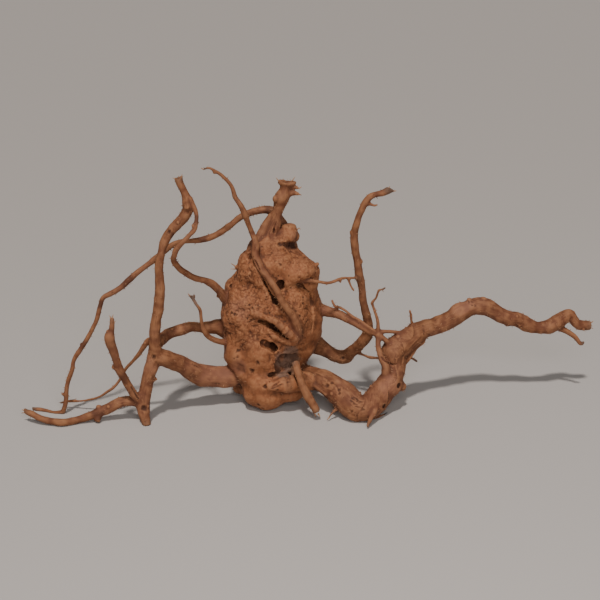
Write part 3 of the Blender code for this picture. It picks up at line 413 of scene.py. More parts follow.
# Where old bark is left, and where the wood is weathered grey: across, up, back and reach
BARK_PATCHES: list[Knot] = [Knot(*spot) for spot in (
    (-172, 145, 38, 9), (-97, 187, 56, 6), (-200, 122, 36, 6), (-103.5, 205, 20, 6),
    (-129, 192, 26, 5), (-176, 46, -4, 6), (-156, 17, 4, 4), (-33, 216, 74, 6),
    (69, 96, 66, 6), (-202, 10, 6, 7), (-216, 80, 32, 7), (-102, 113, 35, 6),
)]
GREY_PATCHES: list[Knot] = [Knot(*spot) for spot in (
    (-13, 62, 38, 15), (-9, 72, 34, 9), (-106, 124, 35, 7), (-18, 51, 34, 8),
)]

# Painted shade inside the burl's deep hollows and in the recess under the knob: across, up, back and
# reach
PAINTED_SHADE_PLACES: list[Knot] = [Knot(*spot) for spot in (
    (-29, 80, 43, 11), (-26, 97, 44, 10), (-18.5, 140.5, 46, 9), (-13, 179, 68, 7),
    (-27, 51, 40, 6), (-10, 50, 42, 6), (-25, 124, 40, 7), (-3, 140, 45, 6),
)]

# Where the wood is browner than elsewhere, with some patches that are painted shade in the recess under
# the knob, beside it and on the burl's left flank, and where it is blushed: across, up, back and reach
BROWN_AND_SHADE_PATCHES: list[Knot] = [Knot(*spot) for spot in (
    (-54, 143, 38, 8), (-205, 108, 35, 15), (-228, 55, 30, 16), (-122, 95, 54, 8),
    (-113, 232, 31, 11), (-95, 144, 43, 7), (-182, 62, -4, 9), (57, 24, 14, 7), (33, 40, 24, 7),
    (-78, 191, 61, 10), (63, 128, 64, 9), (56, 182, 55, 9), (235, 98, 80, 9), (-49, 118, 34, 6),
    (-66, 110, 38, 5), (-48, 88, 30, 7), (-15, 222, 60, 5), (-225, 4, 2, 9), (-18, 178, 62, 11),
    (-21, 192, 58, 7), (-7, 177, 62, 11), (-72, 243, 36, 7), (-52, 80, 34, 9), (-1, 183, 66, 6),
    (198, 117, 78, 8), (213, 110, 78, 9), (227, 102, 79, 8), (268, 112, 86, 9), (283, 100, 90, 8),
)]
BLUSH_PATCHES: list[Knot] = [Knot(*spot) for spot in (
    (-85, 50, 48, 22), (-60, 60, 40, 12), (160, 120, 70, 12), (90, 38, 26, 12), (-60, 116, 38, 12),
    (-150, 60, 12, 10), (40, 50, 24, 8), (-5, 188, 62, 7),
)]

# Small dark pits that the viewer sees, and one spot of painted shadow in the gap under the left limb:
# across, up and radius
PITS_AND_SHADE_SPOTS: list[tuple[float, float, float]] = [
    (-69.9, 139.3, 1.1), (-71.6, 132.5, 0.6), (-65.9, 147.5, 0.8), (-51.3, 161.8, 0.7),
    (-57, 153.6, 0.8), (-54.5, 152.9, 0.7), (-50.9, 156.8, 0.7), (-58.4, 144.3, 0.8),
    (-47, 137.5, 0.7), (0.1, 133.9, 0.8), (3.4, 127.9, 1.1), (3, 125.2, 0.8), (3.4, 121.4, 1.1),
    (1.2, 119.8, 0.7), (-0.2, 108.9, 1.1), (-4.1, 113.9, 0.7), (6.9, 103.9, 0.9), (-15.6, 103.6, 1),
    (-52.7, 106.4, 0.9), (-72, 105.7, 0.9), (-68.4, 112.1, 1.2), (-65.6, 110.9, 1.3),
    (-63.3, 110.4, 0.9), (-50.6, 120, 1), (-54.9, 119.3, 0.7), (-47.7, 116.8, 0.9),
    (-30.4, 112.5, 0.9), (-46.3, 105.6, 0.9), (-49.1, 105, 0.8), (-71, 101.4, 0.8),
    (-38.4, 178.2, 0.7), (-19.9, 160.7, 1), (-11.6, 148.6, 0.9), (-15.6, 144.3, 1),
    (-3.1, 140, 1.6), (-9.1, 137.1, 1), (-34.9, 37.9, 1.5), (-22.7, 34.6, 1.1), (-41.6, 20, 1.6),
    (-37.4, 16.4, 1.5), (-62, 74.5, 1.5), (-48, 54.3, 1.9), (-42.4, 62.1, 1.7), (-60, 39, 3.2),
    (31.7, 42.2, 1.3), (27, 39.6, 1.7), (34.5, 38.2, 1), (39, 35.3, 1.3), (42.5, 36.8, 0.8),
    (39.4, 31.5, 0.9), (52, 13.4, 1), (62.9, 15.7, 1), (-146.5, 68, 2), (-156, 17, 2.2),
    (-131, 193.5, 1.4), (43, 67, 1.6), (98.3, 39.2, 2.6), (84.5, 18.6, 2.2),
]

# Short dark scratches and cracks that the viewer sees, and two wide strokes of painted shade under the
# knob: from across and up, to across and up, and half the width
SCRATCHES_AND_SHADE_STROKES: list[tuple[float, float, float, float, float]] = [
    (51.5, 27.5, 58.5, 22.5, 0.6), (53.5, 28, 61, 23, 0.6), (50.5, 25, 56, 20.5, 0.6),
    (56, 19, 61, 17, 0.5), (-28.4, 36.1, -19.1, 40.4, 0.7), (-19.1, 40.4, -11, 42.8, 0.6),
    (-31.9, 115, -30.4, 111.5, 0.5), (-66, 66, -61, 69, 0.6), (-64, 73, -59.5, 76, 0.6),
    (-51, 103, -45, 106, 0.6), (-168.5, 38, -161.5, 26, 0.8), (123, 99, 124, 91, 0.5),
    (130, 106, 134, 101, 0.5), (135, 105, 139, 100, 0.5), (168, 124, 172, 119, 0.5),
    (172, 123, 175, 119.5, 0.5), (203, 115, 205, 104, 0.5), (-108, 61, -101, 57, 0.5),
    (-88, 42, -80, 41, 0.5), (-20, 180.5, -12, 180, 2.1), (-12, 180, -5, 179.4, 3.2),
    (28, 44, 24, 38, 0.6), (-66.5, 100.5, -70.5, 101.5, 0.6), (-44, 120, -39, 117.5, 0.5),
]

# Single hairs and thin spikes of broken ends: across, up, back and radius
HAIRS: list[list[tuple[float, float, float, float]]] = [
    [(-21, 243.5, 65, 0.8), (-22.5, 245.5, 64.5, 0.5), (-24, 247.5, 64, 0.2)],
    [(-8.5, 243.5, 65, 0.8), (-6.5, 246, 64.5, 0.5), (-4.8, 248.4, 64, 0.2)],
    [(-17, 243.5, 65, 0.6), (-16.8, 246.8, 64.5, 0.2)],
    [(-1, 236.5, 65, 0.9), (1.5, 238.2, 64.5, 0.3)],
    [(-1.5, 231, 64, 0.9), (1.5, 229.8, 64, 0.3)],
    [(-3, 194.5, 70, 0.5), (-1, 197, 69, 0.4), (0.5, 195.5, 68, 0.2)],
    [(-96, 255.5, 33, 0.8), (-99, 257, 33, 0.3)],
    [(93, 233.8, 54, 0.8), (96.5, 234.2, 54, 0.3)],
    [(88, 236, 54, 0.9), (90, 238.8, 54, 0.3)],
    [(-122, 245, 33, 1), (-125.5, 246.8, 33, 0.5), (-127.5, 246.8, 33, 0.2)],
    [(-118.8, 246, 32, 0.9), (-118, 250.5, 31, 0.3)],
    [(-121, 246, 32, 0.8), (-121.8, 249, 31, 0.25)],
    [(-274, 13.5, 8, 0.9), (-278, 15.5, 8, 0.3)],
    [(-274, 12.5, 8, 0.8), (-278.5, 12, 9, 0.25)],
    [(-188, 104, -12, 0.9), (-190.5, 109.5, -12, 0.3)],
    [(-187.8, 106, -12, 0.8), (-186.8, 110.5, -12, 0.3)],
    [(-188, 100, -12, 0.7), (-184, 104.5, -12, 0.2)],
    [(-110, 129, 36, 0.8), (-112, 131.5, 36, 0.3)],
    [(-63, 158, 57, 0.8), (-69, 161.5, 56, 0.3)],
    [(-64, 156, 57, 0.7), (-69.5, 156, 56, 0.25)],
    [(289, 101, 92, 0.9), (293.5, 104, 92, 0.3)],
    [(289, 98, 92, 0.8), (293, 96.5, 92, 0.25)],
    [(29.5, 8, 10, 0.8), (27, 5, 9, 0.3)],
    [(18, 11.5, 11, 1), (20, 8.6, 10.5, 0.4)],
    [(15, 11, 11, 0.9), (15.5, 8.2, 10.5, 0.3)],
]


@dataclass(frozen=True)
class Viewer:
    """The viewer of the root's best side, for whom across, up and back are measured.

    Lengths are in millimetres and the elevation is in degrees.
    """

    distance: float = 1200.0
    elevation: float = 20.0
    aim_up: float = 125.0
    middle_across: float = 14.0
    middle_back: float = 65.0
    picture_width: float = 600.0
    sensor: float = 36.0

    def eye(self) -> Vector:
        """The viewer's eye before the root's middle is moved to the origin, in millimetres."""
        sine, cosine = self._tilt()
        return Vector((0, self.aim_up * sine - self.distance * cosine,
                       self.aim_up * cosine + self.distance * sine))

    def place(self, across: float, up: float, back: float) -> tuple[Vector, float]:
        """Turns a point of the picture into a place in the room.

        Args:
            across: Millimetres to the right in the picture.
            up: Millimetres up in the picture.
            back: How far back the point lies.

        Returns:
            The place in metres, and how much larger a thing is there than in the picture.
        """
        sine, cosine = self._tilt()
        eye = self.eye()
        on_plane = Vector((across, up * sine, up * cosine))
        reach = (back - eye.y) / (on_plane.y - eye.y)
        place = eye + (on_plane - eye) * reach
        return (place - self._middle()) * MM, reach

    def camera(self) -> bpy.types.Object:
        """Makes the camera that sees what the viewer sees."""
        data = bpy.data.cameras.new("viewer")
        data.sensor_width = self.sensor
        data.lens = self.sensor * self.distance / self.picture_width
        data.clip_start = 0.01
        data.clip_end = 50.0
        camera = link("viewer", data)
        camera.location = (self.eye() - self._middle()) * MM
        camera.rotation_euler = (math.radians(90.0 - self.elevation), 0.0, 0.0)
        return camera

    def _tilt(self) -> tuple[float, float]:
        """The sine and cosine of the elevation."""
        angle = math.radians(self.elevation)
        return math.sin(angle), math.cos(angle)

    def _middle(self) -> Vector:
        """The root's middle on the floor, in millimetres."""
        return Vector((self.middle_across, self.middle_back, 0.0))


VIEWER = Viewer()


def smooth_step(low: float, high: float, value: float) -> float:
    """Rises smoothly from 0 at low to 1 at high."""
    share = max(0.0, min(1.0, (value - low) / (high - low)))
    return share * share * (3.0 - 2.0 * share)


def evaluated_mesh(obj: bpy.types.Object) -> bpy.types.Mesh:
    """The object's mesh as its modifiers leave it, in the room's axes."""
    bpy.context.view_layer.update()
    graph = bpy.context.evaluated_depsgraph_get()
    mesh = bpy.data.meshes.new_from_object(obj.evaluated_get(graph))
    mesh.transform(obj.matrix_world)
    return mesh


def apply_modifiers(obj: bpy.types.Object) -> None:
    """Leaves the object with the mesh that its modifiers make."""
    made = evaluated_mesh(obj)
    obj.modifiers.clear()
    old, obj.data = obj.data, made
    bpy.data.meshes.remove(old)


def link(name: str, data: bpy.types.ID) -> bpy.types.Object:
    """Puts a mesh, a curve, a light or a camera in the scene as an object at the origin."""
    obj = bpy.data.objects.new(name, data)
    bpy.context.scene.collection.objects.link(obj)
    return obj


@contextmanager
def edited(mesh: bpy.types.Mesh) -> Iterator[bmesh.types.BMesh]:
    """Opens a mesh for changes and writes them back to it."""
    shape = bmesh.new()
    shape.from_mesh(mesh)
    yield shape
    shape.to_mesh(mesh)
    shape.free()


class TubeMaker:
    """Makes the limbs as mesh tubes along smooth curves.

    Points of a tube that lie nearer than the weld, in millimetres, become one.
    """

    weld: float = 0.01

    def __init__(self, sides: int, steps: int) -> None:
        """Keeps how many sides a tube has and how many steps a span takes."""
        self.sides = sides
        self.steps = steps

    def tube(self, points: Sequence[tuple[float, float, float, float]]) -> bpy.types.Mesh:
        """Makes one closed tube.

        Args:
            points: The route, each point as across, up, back and radius in millimetres.

        Returns:
            The tube's mesh, with its caps welded on.
        """
        curve = bpy.data.curves.new("limb", "CURVE")
        curve.dimensions = "3D"
        curve.bevel_depth = 1.0
        curve.bevel_resolution = self.sides // 2 - 2
        curve.resolution_u = self.steps
        curve.use_fill_caps = True
        spline = curve.splines.new("BEZIER")
        spline.bezier_points.add(len(points) - 1)
        for knot, (across, up, back, radius) in zip(spline.bezier_points, points):
            place, reach = VIEWER.place(across, up, back)
            knot.co = place
            knot.radius = radius * reach * MM
            knot.handle_left_type = knot.handle_right_type = "AUTO"
        obj = link("limb", curve)
        mesh = evaluated_mesh(obj)
        bpy.data.objects.remove(obj)
        with edited(mesh) as shape:
            bmesh.ops.remove_doubles(shape, verts=shape.verts, dist=self.weld * MM)
        return mesh


def in_room(lump: Lump) -> tuple[Vector, Vector]:
    """A lump's middle in the room and its half sizes, both in metres."""
    place, reach = VIEWER.place(lump.across, lump.up, lump.back)
    return place, Vector((lump.half_width, lump.half_depth, lump.half_height)) * (reach * MM)


def ellipsoid(lump: Lump) -> bpy.types.Mesh:
    """A mesh of one lump."""
    place, sizes = in_room(lump)
    mesh = bpy.data.meshes.new("lump")
    with edited(mesh) as shape:
        bmesh.ops.create_icosphere(shape, subdivisions=4, radius=1.0)
    turn = Matrix.Rotation(math.radians(lump.lean), 4, "Y")
    mesh.transform(Matrix.Translation(place) @ turn @ Matrix.Diagonal(sizes).to_4x4())
    return mesh


def edge_ends(mesh: bpy.types.Mesh) -> np.ndarray:
    """The numbers of the two points that each edge of a mesh joins."""
    ends = np.empty(len(mesh.edges) * 2, np.int64)
    mesh.edges.foreach_get("vertices", ends)
    return ends.reshape(-1, 2)


def joined(name: str, meshes: Sequence[bpy.types.Mesh]) -> bpy.types.Object:
    """One object that holds all the meshes, still as separate shells."""
    whole = bpy.data.meshes.new(name)
    with edited(whole) as shape:
        for mesh in meshes:
            shape.from_mesh(mesh)
            bpy.data.meshes.remove(mesh)
    return link(name, whole)


def grow_together(obj: bpy.types.Object, voxel: float, smoothing: int) -> None:
    """Makes one skin of the object's shells, rounded where they meet.

    Args:
        obj: The object, whose mesh is changed.
        voxel: The grain of the skin in millimetres.
        smoothing: How many times the skin is smoothed.
    """
    fuse = obj.modifiers.new("Grow together", "REMESH")
    fuse.mode = "VOXEL"
    fuse.voxel_size = voxel * MM
    round_off = obj.modifiers.new("Round the joints", "SMOOTH")
    round_off.factor = 0.5
    round_off.iterations = smoothing
    apply_modifiers(obj)


class Sample(NamedTuple):
    """A place on a limb's middle line, in metres, with what the wood's grain needs there."""

    place: Vector
    radius: float
    along: float
    left: float
    ahead: Vector
    side: Vector
    limb: int


class Sight:
    """Finds how far back the viewer sees the skin."""

    nearest_back: float = -60.0
    farthest_back: float = 200.0

    def __init__(self, mesh: bpy.types.Mesh) -> None:
        """Reads the skin's mesh."""
        faces = [tuple(face.vertices) for face in mesh.polygons]
        self.tree = BVHTree.FromPolygons([vert.co for vert in mesh.vertices], faces)

    def place(self, across: float, up: float) -> Vector:
        """The place on the skin that is seen there, in metres."""
        return VIEWER.place(across, up, self.back(across, up))[0]

    def back(self, across: float, up: float) -> float:
        """How far back the skin is first seen, in millimetres."""
        near = VIEWER.place(across, up, self.nearest_back)[0]
        far = VIEWER.place(across, up, self.farthest_back)[0]
        hit = self.tree.ray_cast(near, (far - near).normalized())[0]
        return hit.y / MM + VIEWER.middle_back


class LimbMap:
    """Finds the limb nearest to a place, and where on it the place is.

    The side vectors start from the first side, a direction that no limb follows.
    """

    first_side: tuple[float, float, float] = (0.31, 0.87, 0.4)

    def __init__(self, limbs: Sequence[Limb], steps: int) -> None:
        """Samples every limb's middle line.

        Args:
            limbs: The limbs.
            steps: How many samples a span takes.
        """
        self.limbs = list(limbs)
        self.samples: list[Sample] = []
        for index, limb in enumerate(self.limbs):
            self._add(index, limb.points, steps)
        self.tree = kdtree.KDTree(len(self.samples))
        for index, sample in enumerate(self.samples):
            self.tree.insert(sample.place, index)
        self.tree.balance()

    def _add(self, index: int, points: Sequence[tuple[float, float, float, float]], steps: int) -> None:
        """Adds the samples of one limb, with a side vector carried along without twist."""
        places: list[tuple[Vector, float]] = []
        for start, end in zip(points, points[1:]):
            for step in range(steps):
                share = step / steps
                across, up, back, radius = (a + (b - a) * share for a, b in zip(start, end))
                place, reach = VIEWER.place(across, up, back)
                places.append((place, radius * reach * MM))
        place, reach = VIEWER.place(*points[-1][:3])
        places.append((place, points[-1][3] * reach * MM))
        runs = [(b[0] - a[0]).length for a, b in zip(places, places[1:])]
        whole = sum(runs)
        along = 0.0
        side = Vector(self.first_side)
        for number, (place, radius) in enumerate(places):
            near = places[max(0, number - 1)][0]
            far = places[min(len(places) - 1, number + 1)][0]
            ahead = (far - near).normalized()
            side = (side - ahead * side.dot(ahead)).normalized()
            self.samples.append(Sample(place, radius, along, whole - along, ahead, side.copy(), index))
            if number < len(runs):
                along += runs[number]

    def nearest(self, place: Vector) -> tuple[Sample, float]:
        """The nearest sample and its distance in metres."""
        _, index, distance = self.tree.find(place)
        return self.samples[index], distance


class BurlMap:
    """Says how far a place belongs to the burl."""

    def __init__(self, lumps: Sequence[Lump], fade_start: float = 1.03, fade_end: float = 1.22) -> None:
        """Places the lumps and keeps where the burl fades out, in shares of a lump's size."""
        self.fade_start = fade_start
        self.fade_end = fade_end
        self.lumps = [in_room(lump) for lump in lumps]

    def share(self, place: Vector) -> float:
        """1 on the burl, fading to 0 outside it."""
        nearest = min(math.hypot((place.x - centre.x) / size.x, (place.y - centre.y) / size.y,
                                 (place.z - centre.z) / size.z) for centre, size in self.lumps)
        return max(0.0, min(1.0, (self.fade_end - nearest) / (self.fade_end - self.fade_start)))


@dataclass
class Relief:
    """How rough the wood is. Lengths and depths are in millimetres.

    The first values repeat the solid's relief. The rest are the fine relief that only the
    skin has.
    """

    swell_share: float = 0.16
    swell_length: float = 15.0
    knob_length: float = 15.0
    knob_depth: float = 3.1
    fold_length: float = 8.0
    fold_depth: float = 1.5
    fold_mean: float = 0.22
    wrinkle_length: float = 7.0
    wrinkle_stretch: float = 0.4
    wrinkle_depth: float = 1.1
    smooth_share: float = 0.3
    limb_near: float = 1.25
    limb_far: float = 1.8
    crumb_lengths: tuple[float, ...] = (4.6, 2.3)
    crumb_depths: tuple[float, ...] = (0.6, 0.6)
    pit_length: float = 5.5
    pit_depth: float = 1.3
    pit_width: float = 0.2
    pit_rare: float = -0.1
    smallest_pit: float = 0.5
    pit_spread: float = 0.6
    pit_floor: float = 0.35
    chance_step: float = 37.0
    grain_length: float = 16.0
    grain_width: float = 1.5
    grain_depth: float = 0.12
    fine_grain_share: float = 0.6
    fine_grain_scale: float = 2.1
    thin_grain_share: float = 0.35
    thick_radius: float = 6.0
    nub_length: float = 13.0
    nub_width: float = 0.2
    nub_rare: float = 0.5
    nub_height: float = 1.3
    nub_share: float = 0.45
    bend_length: float = 7.0
    bend_depth: float = 0.09
    bend_radius: float = 7.0

    def __post_init__(self) -> None:
        """Places the rough spots."""
        self.rough_spots: list[tuple[Vector, float]] = []
        for spot in ROUGH_SPOTS:
            centre, reach = VIEWER.place(spot.across, spot.up, spot.back)
            self.rough_spots.append((centre / MM, spot.radius * reach))

    def rough(self, place: Vector) -> float:
        """How rough the burl is at a place in millimetres: 1 in the rough spots, less outside."""
        nearest = min((place - centre).length / radius for centre, radius in self.rough_spots)
        return max(self.smooth_share, min(1.0, 2.0 - nearest))

    def solid_burl(self, place: Vector) -> float:
        """The height of the solid's burl relief at a place, both in millimetres."""
        fold = abs(noise.noise(place / self.fold_length)) - self.fold_mean
        stretch = self.wrinkle_stretch
        flat = Vector((place.x * stretch, place.y * stretch, place.z)) / self.wrinkle_length
        wrinkle = abs(noise.noise(flat)) - self.fold_mean
        rough = self.fold_depth * fold + self.wrinkle_depth * wrinkle
        return self.knob_depth * noise.noise(place / self.knob_length) + self.rough(place) * rough

    def fine_burl(self, place: Vector) -> float:
        """The height of the burl's fine crumbs and pits."""
        height = sum(depth * (abs(noise.noise(place / length)) - self.fold_mean)
                     for length, depth in zip(self.crumb_lengths, self.crumb_depths))
        pits = self.pit(place, self.pit_length, self.pit_width, self.pit_rare)
        return self.rough(place) * height - self.pit_depth * pits

    def pit(self, place: Vector, length: float, width: float, rare: float) -> float:
        """1 in the middle of a pit and 0 outside pits. The rarer, the nearer rare is to 1."""
        distances, points = noise.voronoi(place / length)
        chance = noise.cell(points[0] * self.chance_step)
        size = width * (self.smallest_pit + self.pit_spread * abs(chance))
        inside = 1.0 - smooth_step(self.pit_floor * size, size, distances[0])
        return inside if chance > rare else 0.0

    def solid_limb(self, place: Vector, radius: float) -> float:
        """The height of the solid's swells on a limb, in the radius's own unit."""
        return noise.noise(place / self.swell_length) * self.swell_share * radius

    def fine_limb(self, place: Vector, straight: Vector, radius: float) -> float:
        """The height of a limb's grain, nubs and small bends.

        Args:
            place: The place in millimetres.
            straight: The place on the limb as if the limb were straight, in millimetres.
            radius: The limb's radius in millimetres.

        Returns:
            The height in millimetres.
        """
        grain_place = Vector((straight.x / self.grain_width, straight.y / self.grain_width,
                              straight.z / self.grain_length))
        fine_grain = noise.noise(grain_place * self.fine_grain_scale)
        grain = noise.noise(grain_place) + self.fine_grain_share * fine_grain
        thick = min(1.0, radius / self.thick_radius)
        strength = self.thin_grain_share + (1.0 - self.thin_grain_share) * thick
        nubs = self.pit(place, self.nub_length, self.nub_width, self.nub_rare)
        bends = noise.noise(place / self.bend_length)
        height = self.grain_depth * strength * grain
        height += min(self.nub_height, self.nub_share * radius) * nubs
        return height + self.bend_depth * min(radius, self.bend_radius) * bends

    def off_limb(self, distance: float, radius: float) -> float:
        """0 on a limb, rising to 1 well outside it, by the distance from its middle line."""
        bare = (distance / radius - self.limb_near) / (self.limb_far - self.limb_near)
        return max(0.0, min(1.0, bare))


@dataclass
class RootSkin:
    """The fine skin of the whole root.

    Voxels are in millimetres.
    """

    joining_voxel: float = 1.0
    voxel: float = 0.72
    carve_voxel: float = 0.9
    burl_voxel: float = 2.0
    burl_smoothing: int = 14
    joint_smoothing: int = 3
    sides: int = 20
    steps: int = 6
    triangles: int = 190000

    def build(self, relief: Relief) -> tuple[bpy.types.Object, LimbMap, BurlMap]:
        """Grows the root, carves its hollows, roughens it and stands it on the floor.

        Args:
            relief: How rough the wood is.

        Returns:
            The skin, the map of its limbs and the map of its burl.
        """
        maker = TubeMaker(self.sides, self.steps)
        limb_map = LimbMap([limb for limb in LIMBS if limb not in FOLDS], self.steps)
        folds = [Lump(*point, point[3], point[3], 0) for limb in FOLDS for point in limb.points]
        burl_map = BurlMap(LUMPS + folds)
        tubes = [maker.tube(limb.points) for limb in LIMBS] + [maker.tube(points) for points in SPURS]
        bumps = [ellipsoid(lump) for lump in [TOP_PLATE, *CRAGS]]
        skin = joined("root_skin", tubes + [self._burl()] + bumps)
        grow_together(skin, self.joining_voxel, self.joint_smoothing)
        self._carve(skin, maker)
        grow_together(skin, self.voxel, self.joint_smoothing)
        self._keep_largest(skin)
        self._roughen(skin, relief, limb_map, burl_map)
        self._thin_out(skin)
        self._stand_flat(skin)
        skin.data.shade_smooth()
        return skin, limb_map, burl_map

    def _burl(self) -> bpy.types.Mesh:
        """The burl's lumps, blended into one soft body."""
        body = joined("burl", [ellipsoid(lump) for lump in LUMPS])
        grow_together(body, self.burl_voxel, self.burl_smoothing)
        mesh = body.data
        bpy.data.objects.remove(body)
        return mesh

    def _carve(self, skin: bpy.types.Object, maker: TubeMaker) -> None:
        """Cuts the hollows, slots and grooves out of the skin."""
        sight = Sight(skin.data)
        slots = [[(across, up, sink + deeper, radius) for across, up, sink, radius in points]
                 for points in SLOTS for deeper in SLOT_PASSES]
        cracks = [maker.tube([(across, up, sight.back(across, up) + sink, radius)
                              for across, up, sink, radius in points]) for points in GROOVES + slots]
        hollows = [ellipsoid(hollow._replace(back=sight.back(hollow.across, hollow.up) + hollow.back))
                   for hollow in HOLLOWS]
        carver = joined("carver", hollows + cracks)
        grow_together(carver, self.carve_voxel, self.joint_smoothing)
        boolean = skin.modifiers.new("Cut", "BOOLEAN")
        boolean.operation = "DIFFERENCE"
        boolean.solver = "MANIFOLD"
        boolean.object = carver
        apply_modifiers(skin)
        bpy.data.objects.remove(carver)

    def _keep_largest(self, skin: bpy.types.Object) -> None:
        """Deletes every loose shell but the one with the most points."""
        mesh = skin.data
        count = len(mesh.vertices)
        edges = edge_ends(mesh)
        label = np.arange(count)
        changed = True
        while changed:
            low = np.minimum(label[edges[:, 0]], label[edges[:, 1]])
            new = label.copy()
            np.minimum.at(new, edges[:, 0], low)
            np.minimum.at(new, edges[:, 1], low)
            new = new[new]
            changed = bool((new != label).any())
            label = new
        kinds, counts = np.unique(label, return_counts=True)
        loose = np.nonzero(label != kinds[counts.argmax()])[0]
        if len(loose):
            with edited(mesh) as shape:
                shape.verts.ensure_lookup_table()
                verts = [shape.verts[int(index)] for index in loose]
                bmesh.ops.delete(shape, geom=verts, context="VERTS")

    def _roughen(self, skin: bpy.types.Object, relief: Relief, limb_map: LimbMap,
                 burl_map: BurlMap) -> None:
        """Moves every point of the skin by the relief."""
        moved = []
        for vert in skin.data.vertices:
            place = vert.co / MM
            sample, distance = limb_map.nearest(vert.co)
            share = burl_map.share(vert.co) * relief.off_limb(distance, sample.radius)
            rise = 0.0
            if share < 1.0:
                straight = straightened(vert.co, sample) / MM
                height = relief.solid_limb(place, sample.radius / MM)
                height += relief.fine_limb(place, straight, sample.radius / MM)
                rise += (1.0 - share) * height
            if share > 0.0:
                rise += share * (relief.solid_burl(place) + relief.fine_burl(place))
            moved.append(vert.co + vert.normal * (rise * MM))
        for vert, place in zip(skin.data.vertices, moved):
            vert.co = place

    def _thin_out(self, skin: bpy.types.Object) -> None:
        """Cuts the number of triangles, keeping them where the shape needs them."""
        count = sum(len(face.vertices) - 2 for face in skin.data.polygons)
        LOG.info("skin before thinning: %d triangles", count)
        if count > self.triangles:
            fewer = skin.modifiers.new("Fewer triangles", "DECIMATE")
            fewer.ratio = self.triangles / count
            fewer.use_collapse_triangulate = True
            apply_modifiers(skin)

    def _stand_flat(self, skin: bpy.types.Object) -> None:
        """Wears the feet flat at the height of the floor."""
        for vert in skin.data.vertices:
            vert.co.z = max(0.0, vert.co.z)


def straightened(place: Vector, sample: Sample) -> Vector:
    """Where a place on a limb would be if the limb were straight and stood up.

    Args:
        place: The place in metres.
        sample: The nearest sample of the limb.

    Returns:
        The place in metres, its third number running along the limb.
    """
    away = place - sample.place
    forward = away.dot(sample.ahead)
    other = sample.ahead.cross(sample.side)
    shift = LIMB_SHIFT * sample.limb
    return Vector((away.dot(sample.side) + shift, away.dot(other), sample.along + forward))


class Mark(Enum):
    """The names of the marks that the finish reads from the skin."""

    GRAIN = "grain"
    BURL = "burl"
    # Painted shade in the skin's hollows and creases and in the listed deep places
    PAINTED_SHADE = "hollow"
    # Crests, made paler: partly wear, partly a painted highlight
    CREST_WEAR_AND_HIGHLIGHT = "worn_and_highlit_crest"
    BARK = "bark"
    GREY = "grey"
    TIP = "tip"
    HAIRY = "hairy"
    BARBED = "barbed"
    CRUMBLY = "crumbly"
    FRAYED = "frayed"
    ROUGH = "rough"
    # Browner wood, and painted shade in some of the brown patches
    BROWN = "brown_and_shade"
    BLUSH = "blush"
    # Dark pits and scratches, with a few strokes of painted shade
    PIT_AND_SHADE = "pit"


# Marks laid from listed patches: the patches, how ragged their edges are, and the length in millimetres
# over which the edges wander
HAND_MARKS: list[tuple[Mark, list[Knot], float, float]] = [
    (Mark.BARK, BARK_PATCHES, 0.5, 4.0),
    (Mark.GREY, GREY_PATCHES, 0.5, 5.0),
    # Painted shade inside deep hollows and under the knob
    (Mark.PAINTED_SHADE, PAINTED_SHADE_PLACES, 0.2, 5.0),
    # Browner wood, partly painted shade
    (Mark.BROWN, BROWN_AND_SHADE_PATCHES, 0.6, 7.0),
    (Mark.BLUSH, BLUSH_PATCHES, 0.6, 9.0),
]


